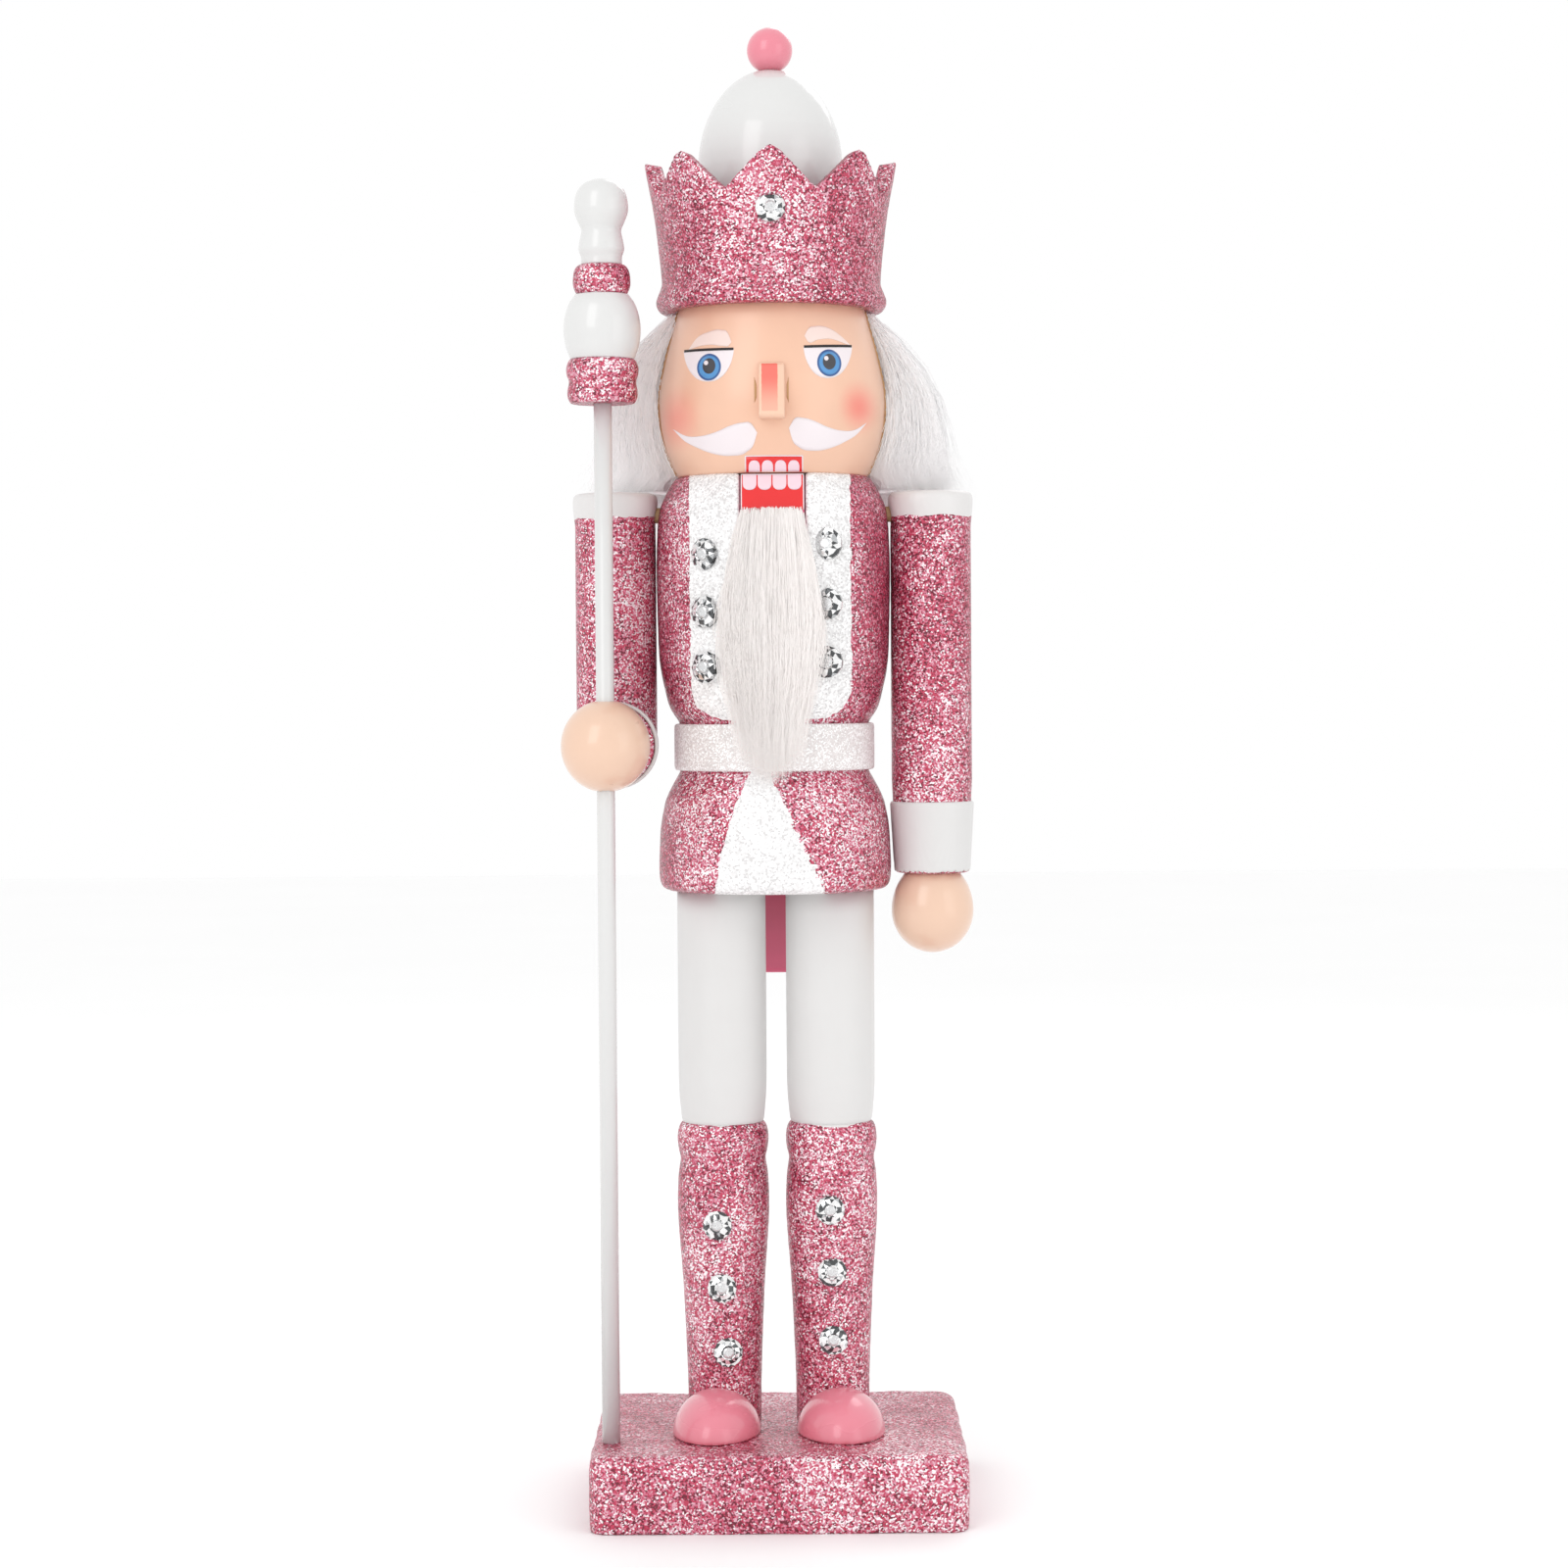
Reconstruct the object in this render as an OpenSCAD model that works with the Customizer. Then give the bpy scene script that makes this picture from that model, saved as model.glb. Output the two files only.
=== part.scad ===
// Standing king nutcracker: turned wooden parts on a block, a jaw worked by a lever, and a loose staff.
// Millimetres. +Z is up and -Y is the front. The origin is the centre of the base's underside.
// Left and right are as seen from the front.

/* [Base] */
// Width of the base block, side to side
base_w = 95; // [90:1:110]
// Depth of the base block, front to back
base_d = 83; // [74:1:100]
// Height of the base block
base_h = 19.2; // [15:0.1:20]

/* [Legs] */
// Distance from the middle of the figure to a leg's axis
leg_x = 14; // [13:0.5:15]
// Radius of a boot at its widest
boot_r = 11.85; // [11:0.05:12]
// Height of a boot with its cuff
boot_h = 78.8; // [76:0.1:84]
// Radius of a trouser leg
leg_r = 11.4; // [10.8:0.1:11.5]
// Height of a trouser leg
leg_h = 60.2; // [55:0.1:65]

/* [Coat] */
// Radius of the coat at the chest
coat_r = 29.9; // [29:0.1:30.1]
// Height of the coat from hem to neck
coat_h = 105.8; // [105.8:0.1:108]

/* [Head] */
// Radius of the head at the cheeks
head_r = 29.1; // [28:0.1:29.2]
// Height of the head from neck to crown
head_h = 43.3; // [41:0.1:44]
// Radius of the crown over its points
crown_r = 32.4; // [32:0.1:34]
// Height of the crown above the head
crown_h = 37.5; // [36:0.5:40]
// Radius of the dome inside the crown
dome_r = 18.6; // [17:0.1:19]
// Radius of the knob on top
knob_r = 5.85; // [5:0.05:6.5]

/* [Arms] */
// Distance from the middle of the figure to an arm's axis
arm_x = 40.6; // [40.6:0.1:43]
// Radius of an arm
arm_r = 10.2; // [9.5:0.1:10.2]
// Radius of a hand
hand_r = 10.6; // [10:0.1:11]

/* [Staff] */
// Radius of the staff's rod
rod_r = 2.3; // [2:0.1:2.5]
// Distance from the middle of the figure to the rod
staff_x = -42.5; // [-43:0.5:-42]
// Distance of the rod in front of the arms' plane
staff_reach = 22; // [21:0.5:24]

/* [Jaw lever] */
// Width of the jaw and its lever
jaw_w = 16; // [14:0.5:16]
// Clearance between the lever and each side of its slot
jaw_gap = 0.35; // [0.3:0.05:0.5]
// Depth below the neck of the pin that the lever turns on
pin_drop = 17; // [16.5:0.5:17]

/* [Gems] */
// Radius of a gem on the coat or a boot
gem_r = 3.5; // [3:0.1:3.6]
// Radius of the gem on the crown
crown_gem_r = 3.8; // [3.4:0.1:4]

/* [Hidden] */

// Finishes, as plain colours
glitter_pink = [0.80, 0.42, 0.53];
gloss_pink = [0.90, 0.50, 0.58];
white = [0.93, 0.93, 0.92];
skin = [0.95, 0.78, 0.66];
fur = [0.97, 0.96, 0.95];
bare_wood = [0.80, 0.66, 0.47];
steel = [0.70, 0.71, 0.73];
stone = [0.88, 0.90, 0.93];

// Heights of the joints between the parts
boot_z = base_h;
leg_z = boot_z + boot_h;
coat_z = leg_z + leg_h;
neck_z = coat_z + coat_h;
crown_z = neck_z + head_h;
crown_floor_z = crown_z + 9.5;
dome_top_z = crown_z + 61;
arm_top_z = neck_z - 4;

touch = 0.05;      // gap between two glued curved faces
glue_gap = 0.02;   // radial gap round a dowel
past = 1;          // how far a cutter runs past a face
turn_fn = 96;

// Smooth line through a few points: a Catmull-Rom spline
function smooth(p, steps = 3) = [
    for (i = [0 : len(p) - 2])
        let (a = p[max(i - 1, 0)], b = p[i], c = p[i + 1], d = p[min(i + 2, len(p) - 1)])
        for (k = [0 : steps - 1])
            let (t = k / steps)
            0.5 * (2 * b + (c - a) * t + (2 * a - 5 * b + 4 * c - d) * t * t
                + (3 * b - a - 3 * c + d) * t * t * t),
    p[len(p) - 1]
];

// Outlines of the turned parts, bottom to top, as [share of the radius, share of the height]
boot_line = smooth([
    [0.795, 0], [0.8, 0.10], [0.815, 0.20], [0.865, 0.385], [0.90, 0.49], [0.97, 0.63], [1, 0.73],
    [0.975, 0.83], [0.925, 0.88], [0.965, 0.905], [0.995, 0.945], [0.965, 0.98], [0.90, 1]
]);

// The coat's narrowest share of its radius, and the band of its height that stays so narrow
waist = 0.803;
waist_from = 0.288;
waist_to = 0.405;

leg_line = smooth([[0.925, 0], [0.955, 0.05], [0.99, 0.14], [1, 0.3], [1, 1]]);
coat_line = concat(
    smooth([
        [0.92, 0], [0.98, 0.012], [0.995, 0.045], [0.99, 0.10], [0.98, 0.15], [0.96, 0.185], [0.93, 0.22],
        [0.865, 0.258], [waist, waist_from]
    ]),
    smooth([
        [waist, waist_to], [0.885, 0.438], [0.925, 0.475], [0.975, 0.545], [0.99, 0.62], [1, 0.76],
        [0.995, 0.84], [0.98, 0.91], [0.94, 0.945], [0.875, 0.98], [0.825, 1]
    ])
);
head_line = smooth([
    [0.835, 0], [0.89, 0.07], [0.95, 0.18], [0.985, 0.295], [1, 0.41], [0.99, 0.53], [0.955, 0.645],
    [0.915, 0.76], [0.865, 0.88], [0.82, 1]
]);

module turned(line, r, h, extra = 0) {
    rotate_extrude($fn = turn_fn)
        polygon([[0, 0], for (p = line) [p[0] * r + extra, p[1] * h], [0, h]]);
}

// Half of an egg above its widest ring, and half below it, each its own height
module egg(r, up, down, steps = 12) {
    rotate_extrude($fn = turn_fn)
        polygon([
            for (i = [-steps : steps])
                let (a = 90 * i / steps) [r * cos(a), (i < 0 ? down : up) * sin(a)]
        ]);
}

module at_legs() {
    for (side = [-1, 1]) translate([side * leg_x, 0, 0]) children();
}

// ---- Base and feet ----

screw_r = 2;
screw_head_r = 4;
screw_top_z = base_h + 20;
base_corner_r = 5;
base_edge_r = 3;

// Outline of the block's edge: from its foot up over the rounded top edge, with r as its outer reach
function edge_line(r) = concat(
    [[r, 0]],
    [for (a = [0 : 15 : 90]) [r - base_edge_r * (1 - cos(a)), base_h - base_edge_r * (1 - sin(a))]]
);

// Straight run of the block, as wide as the flat between its corner posts
module base_run(half_run, half_reach) {
    line = edge_line(half_reach);
    rotate([90, 0, 90]) linear_extrude(2 * half_run, center = true)
        polygon(concat(line, [for (i = [len(line) - 1 : -1 : 0]) [-line[i][0], line[i][1]]]));
}

// Block with round corners and a softened top edge
module base() {
    x = base_w / 2 - base_corner_r;
    y = base_d / 2 - base_corner_r;
    color(glitter_pink) difference() {
        union() {
            base_run(x, y + base_corner_r);
            rotate(90) base_run(y, x + base_corner_r);
            for (sx = [-1, 1], sy = [-1, 1]) translate([sx * x, sy * y, 0])
                rotate_extrude($fn = 48) polygon(concat([[0, 0]], edge_line(base_corner_r), [[0, base_h]]));
        }
        at_legs() {
            translate([0, 0, -past]) cylinder(r = screw_r + glue_gap, h = base_h + 2 * past, $fn = 32);
            translate([0, 0, -past]) cylinder(r = screw_head_r + 0.4, h = 4 + past, $fn = 48);
        }
    }
}

// Two wood screws that hold the boots from below
module base_screws() {
    color(steel) at_legs() difference() {
        union() {
            translate([0, 0, 4 - 1.2]) cylinder(r = screw_head_r, h = 1.2, $fn = 48);
            translate([0, 0, 4]) cylinder(r = screw_r, h = screw_top_z - 4 - 3, $fn = 32);
            translate([0, 0, screw_top_z - 3]) cylinder(r1 = screw_r, r2 = 0.4, h = 3, $fn = 32);
        }
        for (turn = [0, 90])
            rotate(turn) translate([-2, -0.4, 2]) cube([4, 0.8, 1.6]);
    }
}

shoe_r = 11.3;
shoe_out = 1.9;     // how far a shoe's heel stands outside its leg
shoe_turn = 5;      // how far its toe turns out
shoe_forward = 11;
toe = 17;

// Half an egg lying on the base, hollowed at the heel to take the boot
module shoe(side) {
    color(gloss_pink) difference() {
        translate([side * (leg_x + shoe_out), -shoe_forward, base_h]) rotate([90, 0, side * shoe_turn])
            egg(shoe_r, toe, shoe_r);
        translate([side * leg_x - 40, -40, base_h - 40]) cube([80, 80, 40]);
        translate([side * leg_x - 40, -3, 0]) cube([80, 40, 80]);
        translate([side * leg_x, 0, boot_z]) turned(boot_line, boot_r, boot_h, touch);
    }
}

// ---- Legs ----

spigot_r = 4;
spigot_h = 9;

module boot(side) {
    color(glitter_pink) translate([side * leg_x, 0, boot_z]) difference() {
        turned(boot_line, boot_r, boot_h);
        translate([0, 0, -past])
            cylinder(r = screw_r + glue_gap, h = screw_top_z - boot_z + past + 1, $fn = 32);
        translate([0, 0, boot_h - spigot_h - 1])
            cylinder(r = spigot_r + touch, h = spigot_h + 1 + past, $fn = 48);
    }
}

hip_dowel_r = 3;
hip_dowel_h = 24;

module leg(side) {
    color(white) translate([side * leg_x, 0, leg_z]) difference() {
        union() {
            turned(leg_line, leg_r, leg_h);
            translate([0, 0, -spigot_h]) cylinder(r = spigot_r, h = spigot_h + past, $fn = 48);
        }
        translate([0, 0, leg_h - hip_dowel_h / 2 - 0.5])
            cylinder(r = hip_dowel_r + glue_gap, h = hip_dowel_h, $fn = 48);
    }
}

module hip_dowels() {
    color(bare_wood) at_legs()
        translate([0, 0, coat_z - hip_dowel_h / 2]) cylinder(r = hip_dowel_r, h = hip_dowel_h, $fn = 48);
}

// ---- Coat, belt and jaw ----

pin_r = 1.45;
pin_y = 2;
pin_z = neck_z - pin_drop;
slot_w = jaw_w + 2 * jaw_gap;
slot_floor_z = neck_z - 40;
channel_y = 20;
neck_dowel_x = 16;
neck_dowel_r = 2.5;
shoulder_z = neck_z - 9.5;
shoulder_dowel_r = 2;

// Chest and skirt turned in one piece, with the slot that the jaw lever works in
module torso() {
    color(glitter_pink) difference() {
        translate([0, 0, coat_z]) turned(coat_line, coat_r, coat_h);
        translate([-slot_w / 2, -50, slot_floor_z]) cube([slot_w, 100, 60]);
        translate([-slot_w / 2, channel_y, coat_z - past]) cube([slot_w, 30, coat_h + 2 * past]);
        translate([0, pin_y, pin_z]) rotate([0, 90, 0])
            cylinder(r = pin_r + glue_gap, h = 80, center = true, $fn = 32);
        at_legs() translate([0, 0, coat_z - past])
            cylinder(r = hip_dowel_r + glue_gap, h = hip_dowel_h / 2 + 0.5 + past, $fn = 48);
        for (side = [-1, 1]) {
            translate([side * neck_dowel_x, 0, neck_z - 5.5])
                cylinder(r = neck_dowel_r + glue_gap, h = 7, $fn = 48);
            translate([side * 24, 0, shoulder_z]) rotate([0, side * 90, 0])
                cylinder(r = shoulder_dowel_r + glue_gap, h = 20, $fn = 48);
        }
    }
}

belt_r = 25.8;

// Strip round the waist, open at the back where the lever hangs
module belt() {
    color(white) translate([0, 0, coat_z + (waist_from + 0.002) * coat_h]) difference() {
        cylinder(r = belt_r, h = (waist_to - waist_from - 0.004) * coat_h, $fn = turn_fn);
        translate([0, 0, -past]) cylinder(r = waist * coat_r + touch, h = coat_h, $fn = turn_fn);
        translate([-slot_w / 2, 0, -past]) cube([slot_w, 40, 40]);
    }
}

module jaw_pin() {
    color(steel) translate([0, pin_y, pin_z]) rotate([0, 90, 0])
        cylinder(r = pin_r, h = 56, center = true, $fn = 32);
}

lever_end = 112.5;    // depth of the lever's end below the pin
jaw_h = 26;

// Side view of the lever, as [y, height above the neck]
jaw_outline = concat(
    smooth([[-24.2, -0.3], [-27.3, -6], [-29, -12], [-29.2, -24]]),
    [[-28.2, -jaw_h], [-10, -jaw_h]],
    smooth([[-4, -27.5], [10, -28], [18, -31], [20.5, -40]]),
    smooth([[20.5, -110], [21, -118], [23.5, -pin_drop - lever_end + 1], [26.5, -pin_drop - lever_end],
        [30, -pin_drop - lever_end + 1.5], [30, -125], [28.5, -112]]),
    smooth([[28.5, -22], [27.8, -14], [25, -10.5]]),
    [[4, -0.3]]
);

// Jaw and lever handle cut as one board
module jaw_lever() {
    color(gloss_pink) difference() {
        translate([-jaw_w / 2, 0, neck_z]) rotate([90, 0, 90]) linear_extrude(jaw_w) polygon(jaw_outline);
        translate([0, pin_y, pin_z]) rotate([0, 90, 0])
            cylinder(r = pin_r + touch, h = 80, center = true, $fn = 32);
    }
}

beard_in = coat_r + 0.5;
beard_out = coat_r + 8;
beard_top = -10;    // depths of the beard's ends below the neck
beard_end = -78;

// Fur beard on the front of the jaw, as the space that it fills
module beard() {
    color(fur) intersection() {
        translate([0, 0, neck_z]) rotate([0, 0, -90 - 30]) rotate_extrude(angle = 60, $fn = turn_fn)
            polygon([[beard_in, beard_top], [beard_in + 3, beard_top], [beard_out, beard_top - 12],
                [beard_out, beard_end + 18], [beard_in + 3, beard_end], [beard_in, beard_end]]);
        translate([0, 0, neck_z]) rotate([90, 0, 0]) linear_extrude(60)
            polygon([[-8, beard_top], [8, beard_top], [11, beard_top - 14], [11, -48], [7, -66],
                [3, beard_end], [-3, beard_end], [-9, -66], [-13, -48], [-13, beard_top - 14]]);
    }
}

// ---- Head ----

module neck_dowels() {
    color(bare_wood) for (side = [-1, 1])
        translate([side * neck_dowel_x, 0, neck_z - 5]) cylinder(r = neck_dowel_r, h = 10, $fn = 48);
}

crown_dowel_r = 4;

module head() {
    color(skin) difference() {
        translate([0, 0, neck_z]) turned(head_line, head_r, head_h);
        for (side = [-1, 1])
            translate([side * neck_dowel_x, 0, neck_z - past])
                cylinder(r = neck_dowel_r + glue_gap, h = 5.5 + past, $fn = 48);
        translate([0, 0, crown_z - 8.5]) cylinder(r = crown_dowel_r + glue_gap, h = 10, $fn = 48);
    }
}

nose_w = 6.4;

// Wedge glued to the face, deepest at the nostrils
module nose() {
    color(skin) difference() {
        translate([-nose_w / 2, 0, neck_z]) rotate([90, 0, 90]) linear_extrude(nose_w)
            polygon([
                [-20, 13], [-33.6, 13], [-34.4, 13.8], [-34.2, 15.2], [-29.4, 26.4], [-28.4, 27.2],
                [-20, 27.2]
            ]);
        translate([0, 0, neck_z]) turned(head_line, head_r, head_h, touch);
    }
}

// Fur wig glued round the back of the head, as the space that it fills
module hair() {
    inner = [for (p = head_line) if (p[1] < 0.95) [p[0] * head_r + 0.5, p[1] * head_h]];
    outer = smooth([
        [26.5, 40.2], [33.5, 37], [38.5, 30], [42, 22], [44, 14], [45, 6], [45, -3], [42, -13], [36, -17]
    ]);
    color(fur) difference() {
        translate([0, 0, neck_z]) rotate([0, 0, -6]) rotate_extrude(angle = 192, $fn = turn_fn)
            polygon(concat(
                [[coat_r + 0.6, -17], [coat_r + 0.6, -8], [coat_r - 1.6, -2]], inner, outer
            ));
        for (side = [-1, 1])
            translate([side * arm_x, 0, arm_top_z - 30]) cylinder(r = arm_r + 1.6, h = 30.4, $fn = 48);
        translate([-slot_w / 2 - 1, 20, neck_z - 40]) cube([slot_w + 2, 40, 39]);
    }
}

// ---- Crown ----

wall_t = 4.5;
points = 8;
notch_depth = 10;

module crown_dowel() {
    color(bare_wood) translate([0, 0, crown_z - 8]) cylinder(r = crown_dowel_r, h = 14, $fn = 48);
}

// Turned cup with a brim, and notches that leave eight points
module crown() {
    brim = smooth([[28.4, -1], [29.7, 1.2], [29.2, 3], [28, 6]]);
    wall = smooth([[28, 6], [28.5, 12], [29.9, 23.7], [31.6, 33], [crown_r, crown_h]]);
    color(glitter_pink) translate([0, 0, crown_z]) difference() {
        rotate_extrude($fn = turn_fn)
            polygon(concat(
                [[0, 0], [24.2, 0], [24.6, -1]], brim, [for (i = [1 : len(wall) - 1]) wall[i]],
                [[crown_r - wall_t, crown_h], [31.2 - wall_t, 31], [28.4 - wall_t, 13], [22.5, 9.5], [0, 9.5]]
            ));
        for (i = [0 : points - 1])
            rotate((i + 0.5) * 360 / points) translate([0, -20, crown_h]) rotate([90, 0, 0])
                linear_extrude(20) notch();
        translate([0, 0, -past]) cylinder(r = crown_dowel_r + glue_gap, h = 6.5 + past, $fn = 48);
    }
}

// One V between two points, which also rounds the tips on each side of it
module notch() {
    side = smooth([
        [0.4, -notch_depth + 0.1], [1.3, -notch_depth + 0.8], [9.2, -1.9], [10.4, -0.8], [12.2, 0]
    ]);
    polygon(concat([[0, -notch_depth]], side, [[13, 3], [-13, 3]],
        [for (i = [len(side) - 1 : -1 : 0]) [-side[i][0], side[i][1]]]));
}

dome_up = 25.3;
dome_down = 30;

module crown_dome() {
    color(white) difference() {
        translate([0, 0, dome_top_z - dome_up + 0.3]) egg(dome_r, dome_up, dome_down);
        translate([-30, -30, crown_floor_z - 30]) cube([60, 60, 30]);
        translate([-30, -30, dome_top_z]) cube([60, 60, 30]);
        translate([0, 0, dome_top_z - 6.5]) cylinder(r = 1.5 + glue_gap, h = 8, $fn = 32);
    }
}

module knob_dowel() {
    color(bare_wood) translate([0, 0, dome_top_z - 6]) cylinder(r = 1.5, h = 10, $fn = 32);
}

module top_knob() {
    color(gloss_pink) difference() {
        translate([0, 0, dome_top_z + knob_r - 0.6]) sphere(r = knob_r, $fn = 64);
        translate([-10, -10, dome_top_z - 20]) cube(20);
        translate([0, 0, dome_top_z - past]) cylinder(r = 1.5 + glue_gap, h = 4.5 + past, $fn = 32);
    }
}

// ---- Gems ----

// Flat-backed stone, table upwards, with a little of its body below the surface that it is glued to
module gem(r, sunk) {
    translate([0, 0, -sunk]) cylinder(r = r, h = sunk + 0.5, $fn = 32);
    translate([0, 0, 0.5]) cylinder(r1 = r, r2 = 0.52 * r, h = 1.5, $fn = 32);
}

// Puts a gem on a surface that faces out at an angle from the front, leaning back by tilt
module gem_at(angle, r, z, tilt = 0) {
    rotate(angle) translate([0, -r, z]) rotate([90 + tilt, 0, 0]) children();
}

crown_gem_z = 22.2;
coat_gem_turn = [-34.5, 29.5];         // the two columns' places round the coat
coat_gem_left = [-20.4, -34.9, -48.7]; // depths below the neck
coat_gem_right = [-18.2, -33.3, -47.8];
boot_gem_left = [72.5, 56.2, 39.5];    // heights above the table
boot_gem_right = [76.3, 60.2, 42.5];
boot_turn_left = [-7, -2, 6];          // each gem's place round the boot
boot_turn_right = [-2.5, -0.5, 0.5];

module crown_gem() {
    color(stone) difference() {
        gem_at(0, 29.75, crown_z + crown_gem_z, -7) gem(crown_gem_r, 0.4);
        translate([0, 0, crown_z]) rotate_extrude($fn = turn_fn)
            polygon([
                [0, 6], [28 + touch, 6], [28.5 + touch, 12], [29.9 + touch, 23.7], [31.6 + touch, 33], [0, 33]
            ]);
    }
}

module coat_gems() {
    color(stone) difference() {
        for (column = [0, 1], depth = column == 0 ? coat_gem_left : coat_gem_right)
            gem_at(coat_gem_turn[column], coat_r + 0.05, neck_z + depth) gem(gem_r, 0.6);
        translate([0, 0, coat_z]) turned(coat_line, coat_r, coat_h, touch);
    }
}

module boot_gems(side, heights, turns) {
    color(stone) translate([side * leg_x, 0, 0]) difference() {
        for (i = [0 : len(heights) - 1])
            gem_at(turns[i], boot_radius(heights[i]) - 0.1, heights[i], -boot_lean(heights[i])) gem(gem_r, 1);
        translate([0, 0, boot_z]) turned(boot_line, boot_r, boot_h, touch);
    }
}

// Radius of a boot at a height, and how far its side leans out there
function boot_radius(z) = boot_r * lookup((z - boot_z) / boot_h, [for (p = boot_line) [p[1], p[0]]]);
function boot_lean(z) = atan((boot_radius(z + 3) - boot_radius(z - 3)) / 6);

// ---- Arms ----

cuff_r = 10.8;
cuff_taper = 0.9;       // how much narrower the straight arm's cuff is at the wrist
wrist_z = neck_z - 101.8;
cuff_h = 18.3;
elbow_z = neck_z - 68.4;
forearm_end = 15.5;     // how far the forearm reaches in front of the arm's axis
wrist_dowel_r = 2;
arm_top_round = 1.2;
cap_proud = 0.55;       // how far the shoulder cap stands out round an arm

module arm_blank(h, wrist_r = arm_r) {
    rotate_extrude($fn = turn_fn)
        polygon(concat([[0, 0], [wrist_r, 0], [arm_r, h / 4], [arm_r, h - 8], [arm_r + cap_proud, h - 4]],
            [for (a = [0 : 30 : 90])
                [arm_r + cap_proud - arm_top_round * (1 - cos(a)), h - arm_top_round * (1 - sin(a))]],
            [[0, h]]));
}

module shoulder_hole(side) {
    translate([side * 28, 0, shoulder_z]) rotate([0, side * 90, 0])
        cylinder(r = shoulder_dowel_r + glue_gap, h = 9, $fn = 48);
}

module shoulder_dowels() {
    color(bare_wood) for (side = [-1, 1])
        translate([side * 24.5, 0, shoulder_z]) rotate([0, side * 90, 0])
            cylinder(r = shoulder_dowel_r, h = 12, $fn = 48);
}

module straight_arm() {
    color(glitter_pink) difference() {
        translate([arm_x, 0, wrist_z]) arm_blank(arm_top_z - wrist_z, arm_r - cuff_taper);
        translate([arm_x, 0, wrist_z - past])
            cylinder(r = wrist_dowel_r + glue_gap, h = 8.5 + past, $fn = 32);
        shoulder_hole(1);
    }
}

// Tapered band round the wrist, as high as the arm's own taper
module straight_cuff() {
    outer = cuff_r + touch;
    run = (arm_top_z - wrist_z) / 4;
    color(white) translate([arm_x, 0, wrist_z]) rotate_extrude($fn = turn_fn)
        polygon([
            [arm_r - cuff_taper + touch, 0], [outer - cuff_taper - 0.5, 0], [outer - cuff_taper - 0.1, 0.5],
            [outer, cuff_h - 0.4], [outer - 0.4, cuff_h],
            [arm_r - cuff_taper * (1 - cuff_h / run) + touch, cuff_h]
        ]);
}

hand_drop = 9.9;

// Egg-shaped hand, cut flat where it meets the wrist
module straight_hand() {
    color(skin) difference() {
        translate([arm_x, 0, wrist_z - hand_drop]) egg(hand_r, 13, 11);
        translate([0, -20, wrist_z]) cube([80, 40, 20]);
        translate([arm_x, 0, wrist_z - 6.5]) cylinder(r = wrist_dowel_r + glue_gap, h = 8, $fn = 32);
    }
}

// Everything on one side of the elbow's mitre: 1 keeps the part above it, -1 the part below
module mitre(keep) {
    translate([-arm_x, 0, elbow_z]) rotate([keep > 0 ? -45 : 135, 0, 0])
        translate([-30, -60, 0]) cube([60, 120, 120]);
}

elbow_dowel_h = 12;

// Dowel or its hole, square to the elbow's mitre and centred on it
module across_elbow(r, h) {
    translate([-arm_x, 0, elbow_z]) rotate([-45, 0, 0]) cylinder(r = r, h = h, center = true, $fn = 32);
}

module elbow_dowel() {
    color(bare_wood) across_elbow(wrist_dowel_r, elbow_dowel_h);
}

module staff_upper_arm() {
    color(glitter_pink) difference() {
        intersection() {
            translate([-arm_x, 0, elbow_z - 12]) arm_blank(arm_top_z - elbow_z + 12);
            mitre(1);
        }
        shoulder_hole(-1);
        across_elbow(wrist_dowel_r + glue_gap, elbow_dowel_h + 1);
    }
}

module staff_forearm() {
    color(glitter_pink) difference() {
        intersection() {
            translate([-arm_x, -forearm_end, elbow_z]) rotate([-90, 0, 0])
                cylinder(r = arm_r, h = forearm_end + 12, $fn = turn_fn);
            mitre(-1);
        }
        across_elbow(wrist_dowel_r + glue_gap, elbow_dowel_h + 1);
        translate([staff_x, -forearm_end - past, elbow_z]) rotate([-90, 0, 0])
            cylinder(r = wrist_dowel_r + glue_gap, h = 7 + past, $fn = 32);
    }
}

module staff_cuff() {
    color(white) translate([-arm_x, -forearm_end, elbow_z]) rotate([-90, 0, 0]) difference() {
        cylinder(r = cuff_r + 0.3, h = 5, $fn = turn_fn);
        translate([0, 0, -past]) cylinder(r = arm_r + touch, h = 5 + 2 * past, $fn = turn_fn);
    }
}

grip_r = 11.3;
bore_r = rod_r + touch;

// Hand with the hole that the staff stands in
module staff_hand() {
    color(skin) difference() {
        translate([staff_x, -staff_reach, elbow_z]) egg(grip_r, grip_r + 0.4, grip_r + 0.4);
        translate([-70, -forearm_end, elbow_z - 20]) cube([60, 40, 40]);
        translate([staff_x, -staff_reach, elbow_z - 20]) cylinder(r = bore_r, h = 40, $fn = 48);
        translate([staff_x, -forearm_end - 2.5, elbow_z]) rotate([-90, 0, 0])
            cylinder(r = wrist_dowel_r + glue_gap, h = 5, $fn = 32);
    }
}

module wrist_dowels() {
    color(bare_wood) {
        translate([arm_x, 0, wrist_z - 6]) cylinder(r = wrist_dowel_r, h = 14, $fn = 32);
        translate([staff_x, -forearm_end - 2, elbow_z]) rotate([-90, 0, 0])
            cylinder(r = wrist_dowel_r, h = 8.5, $fn = 32);
    }
}

// ---- Staff ----

rod_top = 323.3;
lower_collar_z = 281.6;
bulb_z = 292.7;
upper_collar_z = 308.9;
knob_z = 316.3;

// A turned bead on the rod: its outline as [radius, height above its lower end]
module bead(z, line, bore_h) {
    translate([staff_x, -staff_reach, z]) difference() {
        rotate_extrude($fn = 64) polygon(concat([[0, line[0][1]]], line, [[0, line[len(line) - 1][1]]]));
        translate([0, 0, -past]) cylinder(r = rod_r + glue_gap, h = bore_h + past, $fn = 48);
    }
}

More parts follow.
